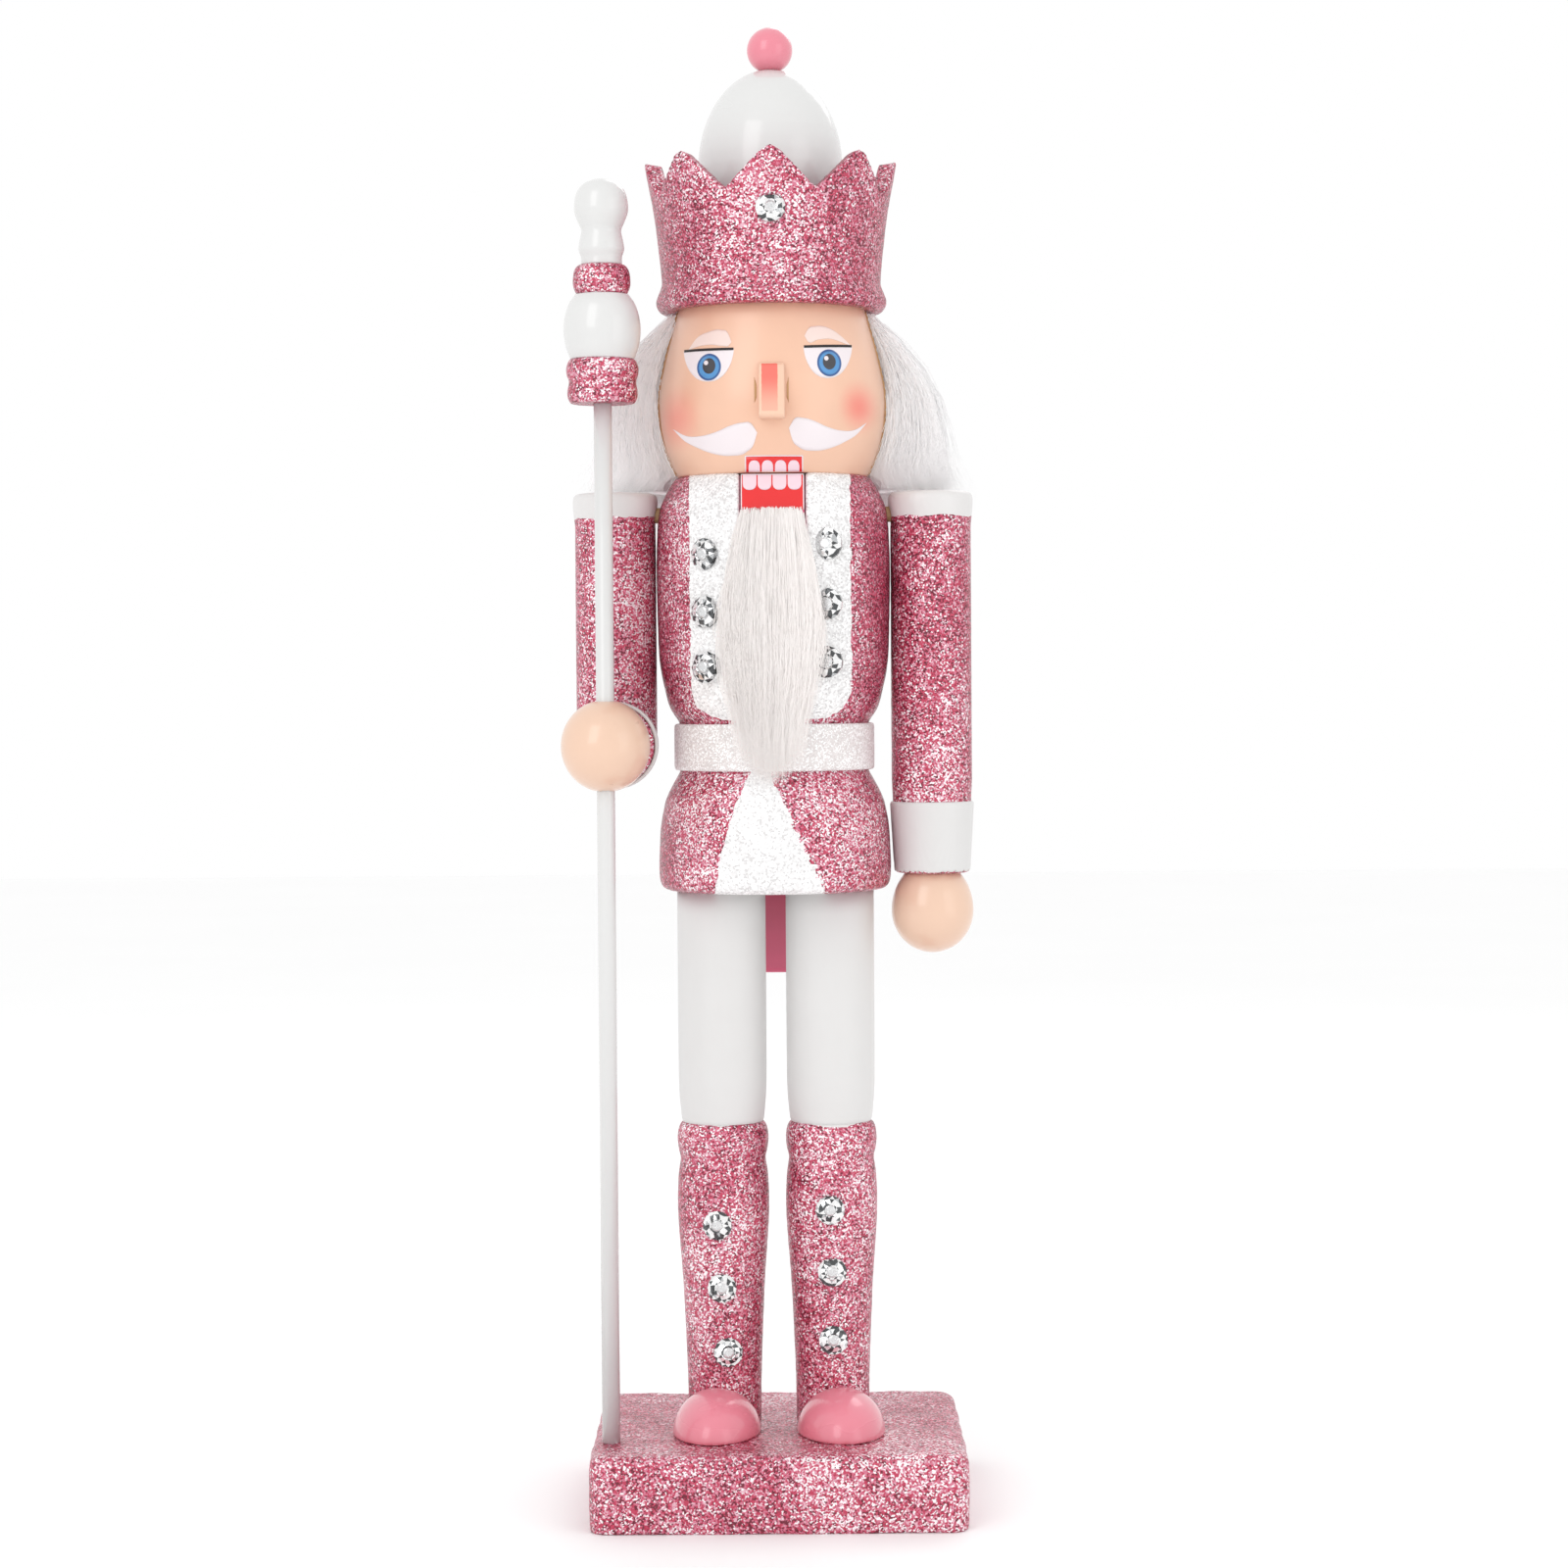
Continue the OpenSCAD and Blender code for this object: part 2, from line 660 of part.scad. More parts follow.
module staff_rod() {
    color(white) translate([staff_x, -staff_reach, base_h])
        cylinder(r = rod_r, h = rod_top - base_h, $fn = 48);
}

module staff_lower_collar() {
    color(glitter_pink) bead(lower_collar_z, smooth([
        [7.9, 0], [8.7, 1.4], [8.8, 3.2], [8.4, 5.5], [8.9, 7], [9.1, 8.8], [8.5, 10.6], [8, 11.1]]), 20);
}

module staff_bulb() {
    color(white) bead(bulb_z, smooth([
        [8, 0], [9.2, 3.2], [9.75, 7.4], [9.3, 11], [8.3, 14], [6.8, 16.2]]), 20);
}

module staff_upper_collar() {
    color(glitter_pink) bead(upper_collar_z, smooth([
        [6.3, 0], [7.1, 1.8], [7.2, 4], [6.8, 6.2], [5.8, 7.4]]), 20);
}

module staff_knob() {
    color(white) bead(knob_z, smooth([
        [5.2, 0], [5.2, 2.2], [5.8, 3.9], [5.4, 6.6], [5, 8.6], [5.8, 10.6], [6.7, 13], [6.8, 15],
        [6.2, 18], [4.6, 20.2], [2, 21.4], [0.2, 21.6]]), rod_top - knob_z + 0.5);
}

base();
base_screws();
shoe(-1);  // shoe_left
shoe(1);  // shoe_right
boot(-1);  // boot_left
boot(1);  // boot_right
leg(-1);  // leg_left
leg(1);  // leg_right
hip_dowels();
torso();
belt();
jaw_pin();
jaw_lever();
beard();
neck_dowels();
head();
nose();
hair();
crown_dowel();
crown();
crown_dome();
knob_dowel();
top_knob();
crown_gem();
coat_gems();
boot_gems(-1, boot_gem_left, boot_turn_left);  // boot_gems_left
boot_gems(1, boot_gem_right, boot_turn_right);  // boot_gems_right
shoulder_dowels();
straight_arm();
straight_cuff();
straight_hand();
staff_upper_arm();
staff_forearm();
staff_cuff();
staff_hand();
wrist_dowels();
elbow_dowel();
staff_rod();
staff_lower_collar();
staff_bulb();
staff_upper_collar();
staff_knob();
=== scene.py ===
# %% [markdown]
# # A king nutcracker in turned wood, glitter and fur
# The figure is a stack of lathe-turned parts glued on dowels. Some are dipped in glue and glitter, some are
# sprayed with enamel, and the hair and beard are strips of artificial fur. The design is already exact: it
# comes in as a frame of separate parts, each with a place and a size. This lesson gives every part its
# skin. We never move a part: a part is either given a material, or a finer piece takes its place.

# %% Load the frame
import math

import bmesh
import bpy
import numpy as np
from mathutils import Matrix, Vector


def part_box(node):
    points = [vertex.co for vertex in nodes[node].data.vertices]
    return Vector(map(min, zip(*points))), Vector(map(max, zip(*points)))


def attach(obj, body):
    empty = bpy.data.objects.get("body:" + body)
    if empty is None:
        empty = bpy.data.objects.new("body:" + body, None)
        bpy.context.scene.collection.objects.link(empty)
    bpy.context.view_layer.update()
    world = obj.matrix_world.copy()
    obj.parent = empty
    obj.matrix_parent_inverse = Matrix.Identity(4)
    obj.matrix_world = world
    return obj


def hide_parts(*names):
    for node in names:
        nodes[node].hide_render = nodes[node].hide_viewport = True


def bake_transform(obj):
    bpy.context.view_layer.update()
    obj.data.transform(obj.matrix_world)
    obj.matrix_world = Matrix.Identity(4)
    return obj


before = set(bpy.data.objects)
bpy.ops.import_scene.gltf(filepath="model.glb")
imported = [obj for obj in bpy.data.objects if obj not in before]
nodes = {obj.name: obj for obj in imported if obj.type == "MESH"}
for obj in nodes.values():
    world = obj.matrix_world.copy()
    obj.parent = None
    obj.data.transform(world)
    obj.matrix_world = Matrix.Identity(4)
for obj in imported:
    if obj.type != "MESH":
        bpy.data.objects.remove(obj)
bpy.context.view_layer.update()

MM = 0.001
scene = bpy.context.scene


def new_object(name, data):
    """An object that holds some data, linked into the scene, at the origin."""
    thing = bpy.data.objects.new(name, data)
    scene.collection.objects.link(thing)
    return thing


print("parts in the frame:", len(nodes))

# %% [markdown]
# ## Small helpers for shader nodes
# A procedural material is a little graph. A few helpers keep each graph readable: one adds a node and plugs
# its inputs in, one does arithmetic, and one starts a material that holds nothing but a Principled BSDF.

# %% Node helpers
class Graph:
    """A node tree with short calls for the few nodes that every finish here needs."""

    def __init__(self, tree):
        self.tree = tree

    def add(self, kind, inputs=None, **settings):
        node = self.tree.nodes.new(kind)
        for name, value in settings.items():
            setattr(node, name, value)
        for name, value in (inputs or {}).items():
            self.plug(value, node.inputs[name])
        return node

    def plug(self, value, socket):
        if isinstance(value, bpy.types.NodeSocket):
            self.tree.links.new(value, socket)
        else:
            socket.default_value = value

    def math(self, operation, a, b=0.0, c=0.0):
        return self.add("ShaderNodeMath", {0: a, 1: b, 2: c}, operation=operation).outputs[0]

    def vector(self, operation, a, b=(0.0, 0.0, 0.0)):
        """One step of arithmetic on vectors; for SCALE, b is a plain number."""
        second = "Scale" if operation == "SCALE" else 1
        return self.add("ShaderNodeVectorMath", {0: a, second: b}, operation=operation).outputs[0]

    def stretch(self, where, z_scale):
        """The same place, with heights pressed together or pulled apart."""
        return self.add("ShaderNodeMapping", {"Vector": where, "Scale": (1.0, 1.0, z_scale)}).outputs[0]

    def noise(self, where, scale, detail=2.0):
        node = self.add("ShaderNodeTexNoise", {"Vector": where, "Scale": scale, "Detail": detail})
        return node.outputs["Fac"]

    def band(self, value, low, high, smooth=True):
        """0 below low, 1 above high, and a ramp between them."""
        kind = "SMOOTHSTEP" if smooth else "LINEAR"
        return self.add("ShaderNodeMapRange", {"Value": value, "From Min": low, "From Max": high},
                        interpolation_type=kind, clamp=True).outputs["Result"]

    def blend(self, factor, a, b, kind="Color"):
        """a where factor is 0, and b where it is 1, for colours or vectors."""
        node = self.add("ShaderNodeMix", data_type={"Color": "RGBA", "Vector": "VECTOR"}[kind])
        for name, value in (("Factor_Float", factor), ("A_" + kind, a), ("B_" + kind, b)):
            self.plug(value, next(s for s in node.inputs if s.identifier == name))
        return next(s for s in node.outputs if s.identifier == "Result_" + kind)

    def bump(self, height, strength, distance, normal=None):
        inputs = {"Height": height, "Strength": strength, "Distance": distance}
        if normal is not None:
            inputs["Normal"] = normal
        return self.add("ShaderNodeBump", inputs).outputs["Normal"]


def finish_graph(name, **shader):
    """A new material with one Principled BSDF, whose plain numbers are set on its own sockets."""
    material = bpy.data.materials.new(name)
    material.use_nodes = True
    material.node_tree.nodes.clear()
    g = Graph(material.node_tree)
    bsdf = g.add("ShaderNodeBsdfPrincipled", shader)
    out = g.add("ShaderNodeOutputMaterial")
    g.tree.links.new(bsdf.outputs[0], out.inputs["Surface"])
    return material, g, bsdf


def new_group(name, inputs, outputs):
    """An empty shader group: inputs and outputs are (name, socket kind, default)."""
    tree = bpy.data.node_groups.new(name, "ShaderNodeTree")
    for label, kind, default in inputs:
        socket = tree.interface.new_socket(name=label, in_out="INPUT", socket_type=kind)
        socket.default_value = default
    for label, kind in outputs:
        tree.interface.new_socket(name=label, in_out="OUTPUT", socket_type=kind)
    g = Graph(tree)
    return tree, g, g.add("NodeGroupInput").outputs, g.add("NodeGroupOutput").inputs


def place_group(g, tree, values):
    """Puts a group in a graph, sets or links its inputs, and gives back its outputs."""
    node = g.add("ShaderNodeGroup", node_tree=tree)
    for name, value in values.items():
        g.plug(value, node.inputs[name])
    return node.outputs


def here(g):
    """Object coordinates: metres, in the frame that every part shares."""
    return g.add("ShaderNodeTexCoord").outputs["Object"]


def rgb(r, g, b):
    """A colour picked on screen, from 0 to 255, as the linear colour that shaders want."""
    def linear(v):
        v /= 255
        return v / 12.92 if v <= 0.04045 else ((v + 0.055) / 1.055) ** 2.4
    return (linear(r), linear(g), linear(b), 1.0)


print("helpers ready; pure white in the shader is", rgb(255, 255, 255))

# %% [markdown]
# ## Glitter
# Glitter is thousands of flat foil flakes, each about half a millimetre across, lying at slightly different
# angles in clear glue. We could scatter real flakes, but a Voronoi texture does it for free: each cell is a
# flake, and its random value tips the flake's normal and picks its colour on a ramp from dark rose to near
# white. The ramp is partly the flakes' own spread of tone and partly painted light: the near-white flakes are
# painted glints and the darkest ones painted shade. Slow noise shifts the ramp into lighter and darker drifts.
# It is a group, since the pink and the white coats share it.

# %% The flakes, as a shader group
flakes, g, given, result = new_group(
    "Flakes",
    [("Flake Size", "NodeSocketFloat", 0.5 * MM), ("Dark", "NodeSocketColor", rgb(112, 26, 48)),
     ("Deep", "NodeSocketColor", rgb(188, 58, 88)), ("Middle", "NodeSocketColor", rgb(208, 116, 140)),
     ("Pale", "NodeSocketColor", rgb(226, 176, 190)), ("Spark", "NodeSocketColor", rgb(252, 244, 247)),
     ("Tilt", "NodeSocketFloat", 0.5), ("Shade", "NodeSocketFloat", 0.0)],
    [("Color", "NodeSocketColor"), ("Roughness", "NodeSocketFloat"), ("Normal", "NodeSocketVector"),
     ("Metallic", "NodeSocketFloat")])
where = here(g)
scale = g.math("DIVIDE", 1.0, given["Flake Size"])
cells = g.add("ShaderNodeTexVoronoi", {"Vector": where, "Scale": scale})
chance = g.add("ShaderNodeSeparateColor", {"Color": cells.outputs["Color"]}).outputs
drift = g.band(g.noise(where, 130.0, 3.0), 0.3, 0.7, smooth=False)
patches = g.band(g.noise(where, 32.0, 2.0), 0.35, 0.65, smooth=False)
drift = g.math("ADD", g.math("MULTIPLY_ADD", drift, 0.14, -0.07),
               g.math("MULTIPLY_ADD", patches, 0.22, -0.12))
lot = g.math("SUBTRACT", g.math("ADD", chance[0], drift), given["Shade"])
# Painted light: flakes low on the ramp are painted shade, and flakes high on it (Pale, Spark) are painted glints
color = given["Dark"]
for name, start in (("Deep", 0.18), ("Middle", 0.48), ("Pale", 0.69), ("Spark", 0.83)):
    color = g.blend(g.math("GREATER_THAN", lot, start), color, given[name])
tip = g.vector("SCALE", g.vector("SUBTRACT", cells.outputs["Color"], (0.5, 0.5, 0.5)), given["Tilt"])
facing = g.add("ShaderNodeNewGeometry").outputs["Normal"]
g.plug(color, result["Color"])
g.plug(g.band(chance[1], 0.0, 1.0, smooth=False), result["Metallic"])
g.plug(g.math("MULTIPLY_ADD", chance[2], 0.35, 0.2), result["Roughness"])
g.plug(g.vector("NORMALIZE", g.vector("ADD", facing, tip)), result["Normal"])
print("flake group has", len(flakes.nodes), "nodes")

# %% [markdown]
# ## One material, two finishes
# The glitter stops where a brush stopped. A mask that compares height with a wavering line gives each edge:
# above it one finish, below it the other. The same trick draws the white front of the coat and the white
# wedge of the skirt. Two finishes live in one material, so the mask mixes their colours, roughnesses and
# normals.

# %% Glitter with room for a second finish
PAINT_WHITE = rgb(220, 218, 217)
# The white flakes use the same ramp: the whitest are painted glints and the greyest painted shade
WHITE_FLAKES = {"Flake Size": 0.45 * MM, "Dark": rgb(212, 210, 210), "Deep": rgb(230, 229, 229),
                "Middle": rgb(243, 242, 242), "Pale": rgb(249, 249, 249), "Spark": rgb(255, 255, 255),
                "Tilt": 0.3}


def wavering(g, where, amount, scale=260.0):
    """Noise about zero, for an edge that a brush left."""
    return g.math("MULTIPLY", g.math("SUBTRACT", g.noise(where, scale, 4.0), 0.5), amount)


def glitter_over(name, edge_mask=None, under="white flakes", flake=0.4, slant_shade=0.4):
    """Pink glitter. Where edge_mask(g, where) is 1 the other finish shows: white flakes, or white paint."""
    material, g, bsdf = finish_graph(name, **{"Coat Weight": 0.25, "Coat Roughness": 0.25})
    # Seen at a slant the flakes are shifted towards the deep end of the ramp: painted shade where the surface turns
    # away from the view
    slant = g.math("POWER", g.add("ShaderNodeLayerWeight", {"Blend": 0.5}).outputs["Facing"], 2.5)
    pink = place_group(g, flakes, {"Flake Size": flake * MM, "Tilt": 0.6,
                                   "Shade": g.math("MULTIPLY", slant, slant_shade)})
    metallic = g.math("MULTIPLY", pink["Metallic"], 0.45)
    color, rough, normal = pink["Color"], pink["Roughness"], pink["Normal"]
    if edge_mask:
        mask = edge_mask(g, here(g))
        if under == "white flakes":
            other = place_group(g, flakes, WHITE_FLAKES)
            other_color, other_rough, other_normal = other["Color"], other["Roughness"], other["Normal"]
        else:
            other_color, other_rough = PAINT_WHITE, 0.4
            other_normal = g.add("ShaderNodeNewGeometry").outputs["Normal"]
        color = g.blend(mask, color, other_color)
        rough = g.math("ADD", g.math("MULTIPLY", rough, g.math("SUBTRACT", 1.0, mask)),
                       g.math("MULTIPLY", other_rough, mask))
        metallic = g.math("MULTIPLY", metallic, g.math("SUBTRACT", 1.0, mask))
        # The second coat is laid over the first, so its edge is a small step
        normal = g.bump(mask, 0.6, 0.25 * MM, g.blend(mask, normal, other_normal, "Vector"))
    g.plug(color, bsdf.inputs["Base Color"])
    g.plug(rough, bsdf.inputs["Roughness"])
    g.plug(metallic, bsdf.inputs["Metallic"])
    g.plug(normal, bsdf.inputs["Normal"])
    return material


def split(g, where):
    return g.add("ShaderNodeSeparateXYZ", {"Vector": where}).outputs


# %% [markdown]
# ## Where the white goes
# On the coat the white glitter fills a long panel with round corners, masked off with tape and dusted by
# hand, so its edge wavers. Below the belt a white wedge opens like a curtain. The caps of the sleeves are
# brushed white, and the boots' glitter ends in a brushed line. Each shape is a few lines of arithmetic on
# the place in metres.

# %% Masks for the coat's front, the skirt, the sleeves and the boots
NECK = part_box("head")[0][2]
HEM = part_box("torso")[0][2]


def rounded_panel(g, x, z, middle, half, low, high, corner):
    """1 inside a rectangle with round corners, from its signed distance."""
    dx = g.math("SUBTRACT", g.math("ABSOLUTE", g.math("SUBTRACT", x, middle)), half - corner)
    dz = g.math("SUBTRACT", g.math("ABSOLUTE", g.math("SUBTRACT", z, (low + high) / 2)),
                (high - low) / 2 - corner)
    dx, dz = g.math("MAXIMUM", dx, 0.0), g.math("MAXIMUM", dz, 0.0)
    away = g.math("SQRT", g.math("ADD", g.math("MULTIPLY", dx, dx), g.math("MULTIPLY", dz, dz)))
    return g.math("SUBTRACT", away, corner)


def coat_front(g, where):
    x, y, z = split(g, where)
    waver = wavering(g, where, 2.2 * MM)
    panel = rounded_panel(g, x, z, -0.7 * MM, 20.3 * MM, NECK - 62 * MM, NECK + 9 * MM, 9 * MM)
    panel = g.math("LESS_THAN", g.math("ADD", panel, waver), 0.0)
    # The wedge opens downwards from the belt: its left edge is bowed, and its right edge straight and ragged
    drop = g.math("DIVIDE", g.math("MAXIMUM", g.math("SUBTRACT", HEM + 33 * MM, z), 0.0), 32 * MM)
    bowed = g.math("MULTIPLY_ADD", g.math("POWER", drop, 0.42), -14.6 * MM, -0.6 * MM)
    straight = g.math("MULTIPLY_ADD", drop, 15.0 * MM, -2.4 * MM)
    ragged = g.math("MULTIPLY", wavering(g, where, 9 * MM, 700.0), drop)
    right = g.math("ADD", straight, ragged)
    inside = g.math("MINIMUM", g.math("SUBTRACT", x, bowed), g.math("SUBTRACT", right, x))
    low = g.math("LESS_THAN", z, HEM + 33 * MM)
    wedge = g.math("MULTIPLY", g.math("GREATER_THAN", inside, g.math("MULTIPLY", waver, 0.9)), low)
    either = g.math("MAXIMUM", panel, wedge)
    return g.math("MULTIPLY", either, g.math("LESS_THAN", y, 0.0))


def above(height, amount=3.0 * MM, lean=0.0):
    """1 above a wavering edge; lean makes the edge drop towards the front."""
    def mask(g, where):
        x, y, z = split(g, where)
        level = g.math("SUBTRACT", z, g.math("MULTIPLY", y, lean))
        level = g.math("ADD", level, wavering(g, where, amount, 150.0))
        return g.math("GREATER_THAN", level, height)
    return mask


ARM_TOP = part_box("straight_arm")[1][2]
BOOT_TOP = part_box("boot_left")[1][2]
pink_glitter = glitter_over("pink_glitter")
block_finish = glitter_over("block_glitter", flake=0.43, slant_shade=0.2)
coat_finish = glitter_over("coat_pink_and_white_glitter", coat_front)
sleeve_finish = glitter_over("sleeve_glitter_under_white_cap", above(ARM_TOP - 6.2 * MM), "paint")
boot_finish = glitter_over("boot_glitter_to_brushed_edge", above(BOOT_TOP + 0.9 * MM, 2 * MM, 0.12), "paint")
print("glitter finishes made; neck at", round(NECK, 4), "hem at", round(HEM, 4))

# %% [markdown]
# ## Enamel, satin paint and print
# Sprayed paint is smooth but never perfect: it pools a little, and the turned wood below telegraphs fine
# rings. One group gives any paint a faint cloudiness in colour, a change of roughness, and a soft
# unevenness.

# %% The paint group and the finishes made with it
paint_film, g, given, result = new_group(
    "Paint Film",
    [("Color", "NodeSocketColor", (1, 1, 1, 1)), ("Roughness", "NodeSocketFloat", 0.3),
     ("Cloud", "NodeSocketFloat", 0.06), ("Unevenness", "NodeSocketFloat", 0.15)],
    [("Color", "NodeSocketColor"), ("Roughness", "NodeSocketFloat"), ("Normal", "NodeSocketVector")])
where = here(g)
cloud = g.noise(where, 90.0, 4.0)
grain = g.noise(g.stretch(where, 2.5), 70.0)
shade = g.math("MULTIPLY_ADD", g.math("SUBTRACT", cloud, 0.5), given["Cloud"], 1.0)
shade = g.math("MULTIPLY_ADD", g.math("SUBTRACT", grain, 0.5), g.math("MULTIPLY", given["Cloud"], 0.6), shade)
hue = g.add("ShaderNodeHueSaturation", {"Color": given["Color"], "Value": shade}).outputs[0]
g.plug(hue, result["Color"])
g.plug(g.math("MULTIPLY_ADD", g.math("SUBTRACT", grain, 0.5), 0.12, given["Roughness"]), result["Roughness"])
height = g.math("ADD", g.math("MULTIPLY", cloud, 0.5), g.math("MULTIPLY", grain, 0.35))
g.plug(g.bump(height, given["Unevenness"], 0.3 * MM), result["Normal"])


def lay_paint(g, bsdf, color, roughness, cloud, unevenness):
    """Wires the paint group between a colour and the shader."""
    film = place_group(g, paint_film, {"Color": color, "Roughness": roughness, "Cloud": cloud,
                                       "Unevenness": unevenness})
    for socket, source in (("Base Color", "Color"), ("Roughness", "Roughness"), ("Normal", "Normal")):
        g.plug(film[source], bsdf.inputs[socket])


def painted(name, color, roughness, coat=0.0, cloud=0.06, unevenness=0.15, **shader):
    material, g, bsdf = finish_graph(name, **{"Coat Weight": coat, "Coat Roughness": 0.08, **shader})
    lay_paint(g, bsdf, color, roughness, cloud, unevenness)
    return material


pink_gloss = painted("pink_enamel", rgb(228, 132, 148), 0.28, coat=0.6, unevenness=0.05)
lever_paint = painted("rose_lever_paint", rgb(214, 98, 128), 0.4, coat=0.2, cloud=0.12)
white_gloss = painted("white_enamel", rgb(217, 217, 216), 0.25, coat=0.5, cloud=0.03, unevenness=0.06)
white_satin = painted("white_satin_paint", rgb(217, 216, 215), 0.45, cloud=0.04, unevenness=0.06)
hand_paint = painted("skin_enamel", rgb(229, 194, 170), 0.3, coat=0.6, cloud=0.05, unevenness=0.05)
bare_wood = painted("beech", rgb(196, 160, 118), 0.6, cloud=0.5, unevenness=0.4)
steel = painted("plain_steel", rgb(170, 172, 176), 0.35, Metallic=1.0, cloud=0.1)
print_white = painted("printed_white", rgb(234, 225, 228), 0.35, coat=0.3, cloud=0.02)
print_soft = painted("printed_soft_white", rgb(238, 216, 208), 0.4, coat=0.3, cloud=0.05)
print_red = painted("printed_red", rgb(226, 8, 14), 0.25, coat=0.6, cloud=0.04)
print_black = painted("printed_black", rgb(22, 18, 20), 0.4, cloud=0.1)
print_teeth = painted("printed_teeth", rgb(238, 210, 220), 0.3, coat=0.5, cloud=0.04)
print_grey = painted("printed_pupil", rgb(52, 52, 58), 0.3, coat=0.5, cloud=0.2)
print_blue = painted("printed_blue", rgb(74, 142, 200), 0.3, coat=0.5, cloud=0.15)
print_ring = painted("printed_blue_ring", rgb(38, 88, 148), 0.3, coat=0.5, cloud=0.1)
glue_tan = painted("dried_glue", rgb(190, 148, 104), 0.55, cloud=0.4, unevenness=0.6)
print("finishes so far:", len(bpy.data.materials))

# %% [markdown]
# ## The face's skin
# The head is sprayed a pale peach and given a soft clear coat. A second, small spray gun adds the blush:
# coral that fades with distance from where it was aimed. The wedge of the nose gets a brushed patch on its
# front face only.

# %% Skin with airbrushed cheeks
CHEEK_SPOTS = ((-24.2, 14.0, 8.0, 0.5), (22.0, 16.6, 6.4, 0.66))


def airbrushed_skin():
    """Satin skin colour with a soft coral blush where the airbrush was pointed."""
    material, g, bsdf = finish_graph("skin_with_blush", **{"Coat Weight": 0.5, "Coat Roughness": 0.22})
    where = here(g)
    x, y, z = split(g, where)
    color = rgb(233, 188, 161)
    front = g.math("LESS_THAN", y, 0.0)
    for cheek_x, cheek_z, reach, strength in CHEEK_SPOTS:
        dx = g.math("SUBTRACT", x, cheek_x * MM)
        dz = g.math("MULTIPLY", g.math("SUBTRACT", z, NECK + cheek_z * MM), 0.8)
        away = g.math("SQRT", g.math("ADD", g.math("MULTIPLY", dx, dx), g.math("MULTIPLY", dz, dz)))
        amount = g.math("MULTIPLY", g.band(away, reach * MM, 0.0), g.math("MULTIPLY", front, strength))
        color = g.blend(amount, color, rgb(236, 92, 86))
    lay_paint(g, bsdf, color, 0.38, 0.07, 0.12)
    return material


def blushing_nose():
    """The wedge of the nose: skin, with a coral patch brushed on its front face."""
    material, g, bsdf = finish_graph("nose_with_blush", **{"Coat Weight": 0.3, "Coat Roughness": 0.2})
    where = here(g)
    x, y, z = split(g, where)
    patch = rounded_panel(g, x, z, -0.5 * MM, 2.0 * MM, NECK + 14.6 * MM, NECK + 26.8 * MM, 0.3 * MM)
    inside = g.math("LESS_THAN", g.math("ADD", patch, wavering(g, where, 0.3 * MM, 900.0)), 0.0)
    facing = g.add("ShaderNodeSeparateXYZ", {0: g.add("ShaderNodeNewGeometry").outputs["Normal"]}).outputs
    faces_out = g.math("LESS_THAN", facing[1], -0.6)
    fade = g.math("MULTIPLY_ADD", g.band(z, NECK + 15 * MM, NECK + 24 * MM), 0.62, 0.3)
    amount = g.math("MULTIPLY", g.math("MULTIPLY", inside, faces_out), fade)
    color = g.blend(amount, rgb(236, 196, 170), rgb(238, 104, 92))
    lay_paint(g, bsdf, color, 0.35, 0.05, 0.2)
    return material


skin = airbrushed_skin()
nose_finish = blushing_nose()
print("blush spots, millimetres from the middle and from the neck:", [spot[:2] for spot in CHEEK_SPOTS])

# %% [markdown]
# ## Fur, foam and stones
# Each hair is its own thin tube, so the fur's shader stays simple: nearly white, a soft sheen, a slow
# change of tone from lock to lock, and a faint glow that is painted light, for the light that hairs pass on to
# one another. The belt is craft foam with fine glitter on its face, whose flakes carry painted glints and shade.
# A flat-backed stone is three things, a clear faceted cap, a mirror of foil below it whose facets are painted
# light and dark as painted reflections, and a near-white disc under the table that is a painted reflection,
# and gets a material for each.

# %% Fur, foam and stone finishes
def fur_material(name, root, tip):
    material, g, bsdf = finish_graph(name, **{"Sheen Weight": 0.3, "Sheen Roughness": 0.5,
                                              "Specular IOR Level": 0.35})
    where = here(g)
    tone = g.noise(where, 220.0, 3.0)
    streak = g.noise(g.stretch(where, 0.1), 1400.0)
    g.plug(g.blend(g.math("MULTIPLY_ADD", tone, 0.6, g.math("MULTIPLY", streak, 0.4)), root, tip),
           bsdf.inputs["Base Color"])
    g.plug(g.math("MULTIPLY_ADD", streak, 0.2, 0.5), bsdf.inputs["Roughness"])
    g.plug(g.bump(streak, 0.3, 0.05 * MM), bsdf.inputs["Normal"])
    # The fur glows faintly: painted light that stands in for the light passed on from hair to hair deep in a white
    # pile, many more times than a picture can follow
    g.plug(g.blend(streak, root, tip), bsdf.inputs["Emission Color"])
    bsdf.inputs["Emission Strength"].default_value = 0.09
    # Light passes through a white hair: to shadow and bounce rays each one is half clear
    ray = g.add("ShaderNodeLightPath").outputs
    unseen = g.math("MAXIMUM", ray["Is Shadow Ray"], ray["Is Diffuse Ray"])
    g.plug(g.math("MULTIPLY_ADD", unseen, -0.8, 1.0), bsdf.inputs["Alpha"])
    return material


hair_fur = fur_material("wig_fur", rgb(251, 248, 249), rgb(255, 255, 255))
beard_fur = fur_material("beard_fur", rgb(246, 239, 236), rgb(252, 248, 246))

foam, g, bsdf = finish_graph("glittered_foam")
# The foam's flakes take the same ramp: its whitest flakes are painted glints, its greyest painted shade
film = place_group(g, flakes, {**WHITE_FLAKES, "Dark": rgb(212, 206, 205), "Deep": rgb(222, 216, 215),
                             "Middle": rgb(228, 222, 221), "Flake Size": 0.33 * MM, "Tilt": 0.15})
g.plug(film["Color"], bsdf.inputs["Base Color"])
g.plug(g.math("MULTIPLY_ADD", film["Roughness"], 0.6, 0.3), bsdf.inputs["Roughness"])
g.plug(film["Normal"], bsdf.inputs["Normal"])

clear_stone, g, bsdf = finish_graph(
    "clear_stone", **{"Base Color": (1, 1, 1, 1), "Transmission Weight": 1.0, "IOR": 1.42})
g.plug(g.math("MULTIPLY", g.noise(here(g), 500.0), 0.05), bsdf.inputs["Roughness"])
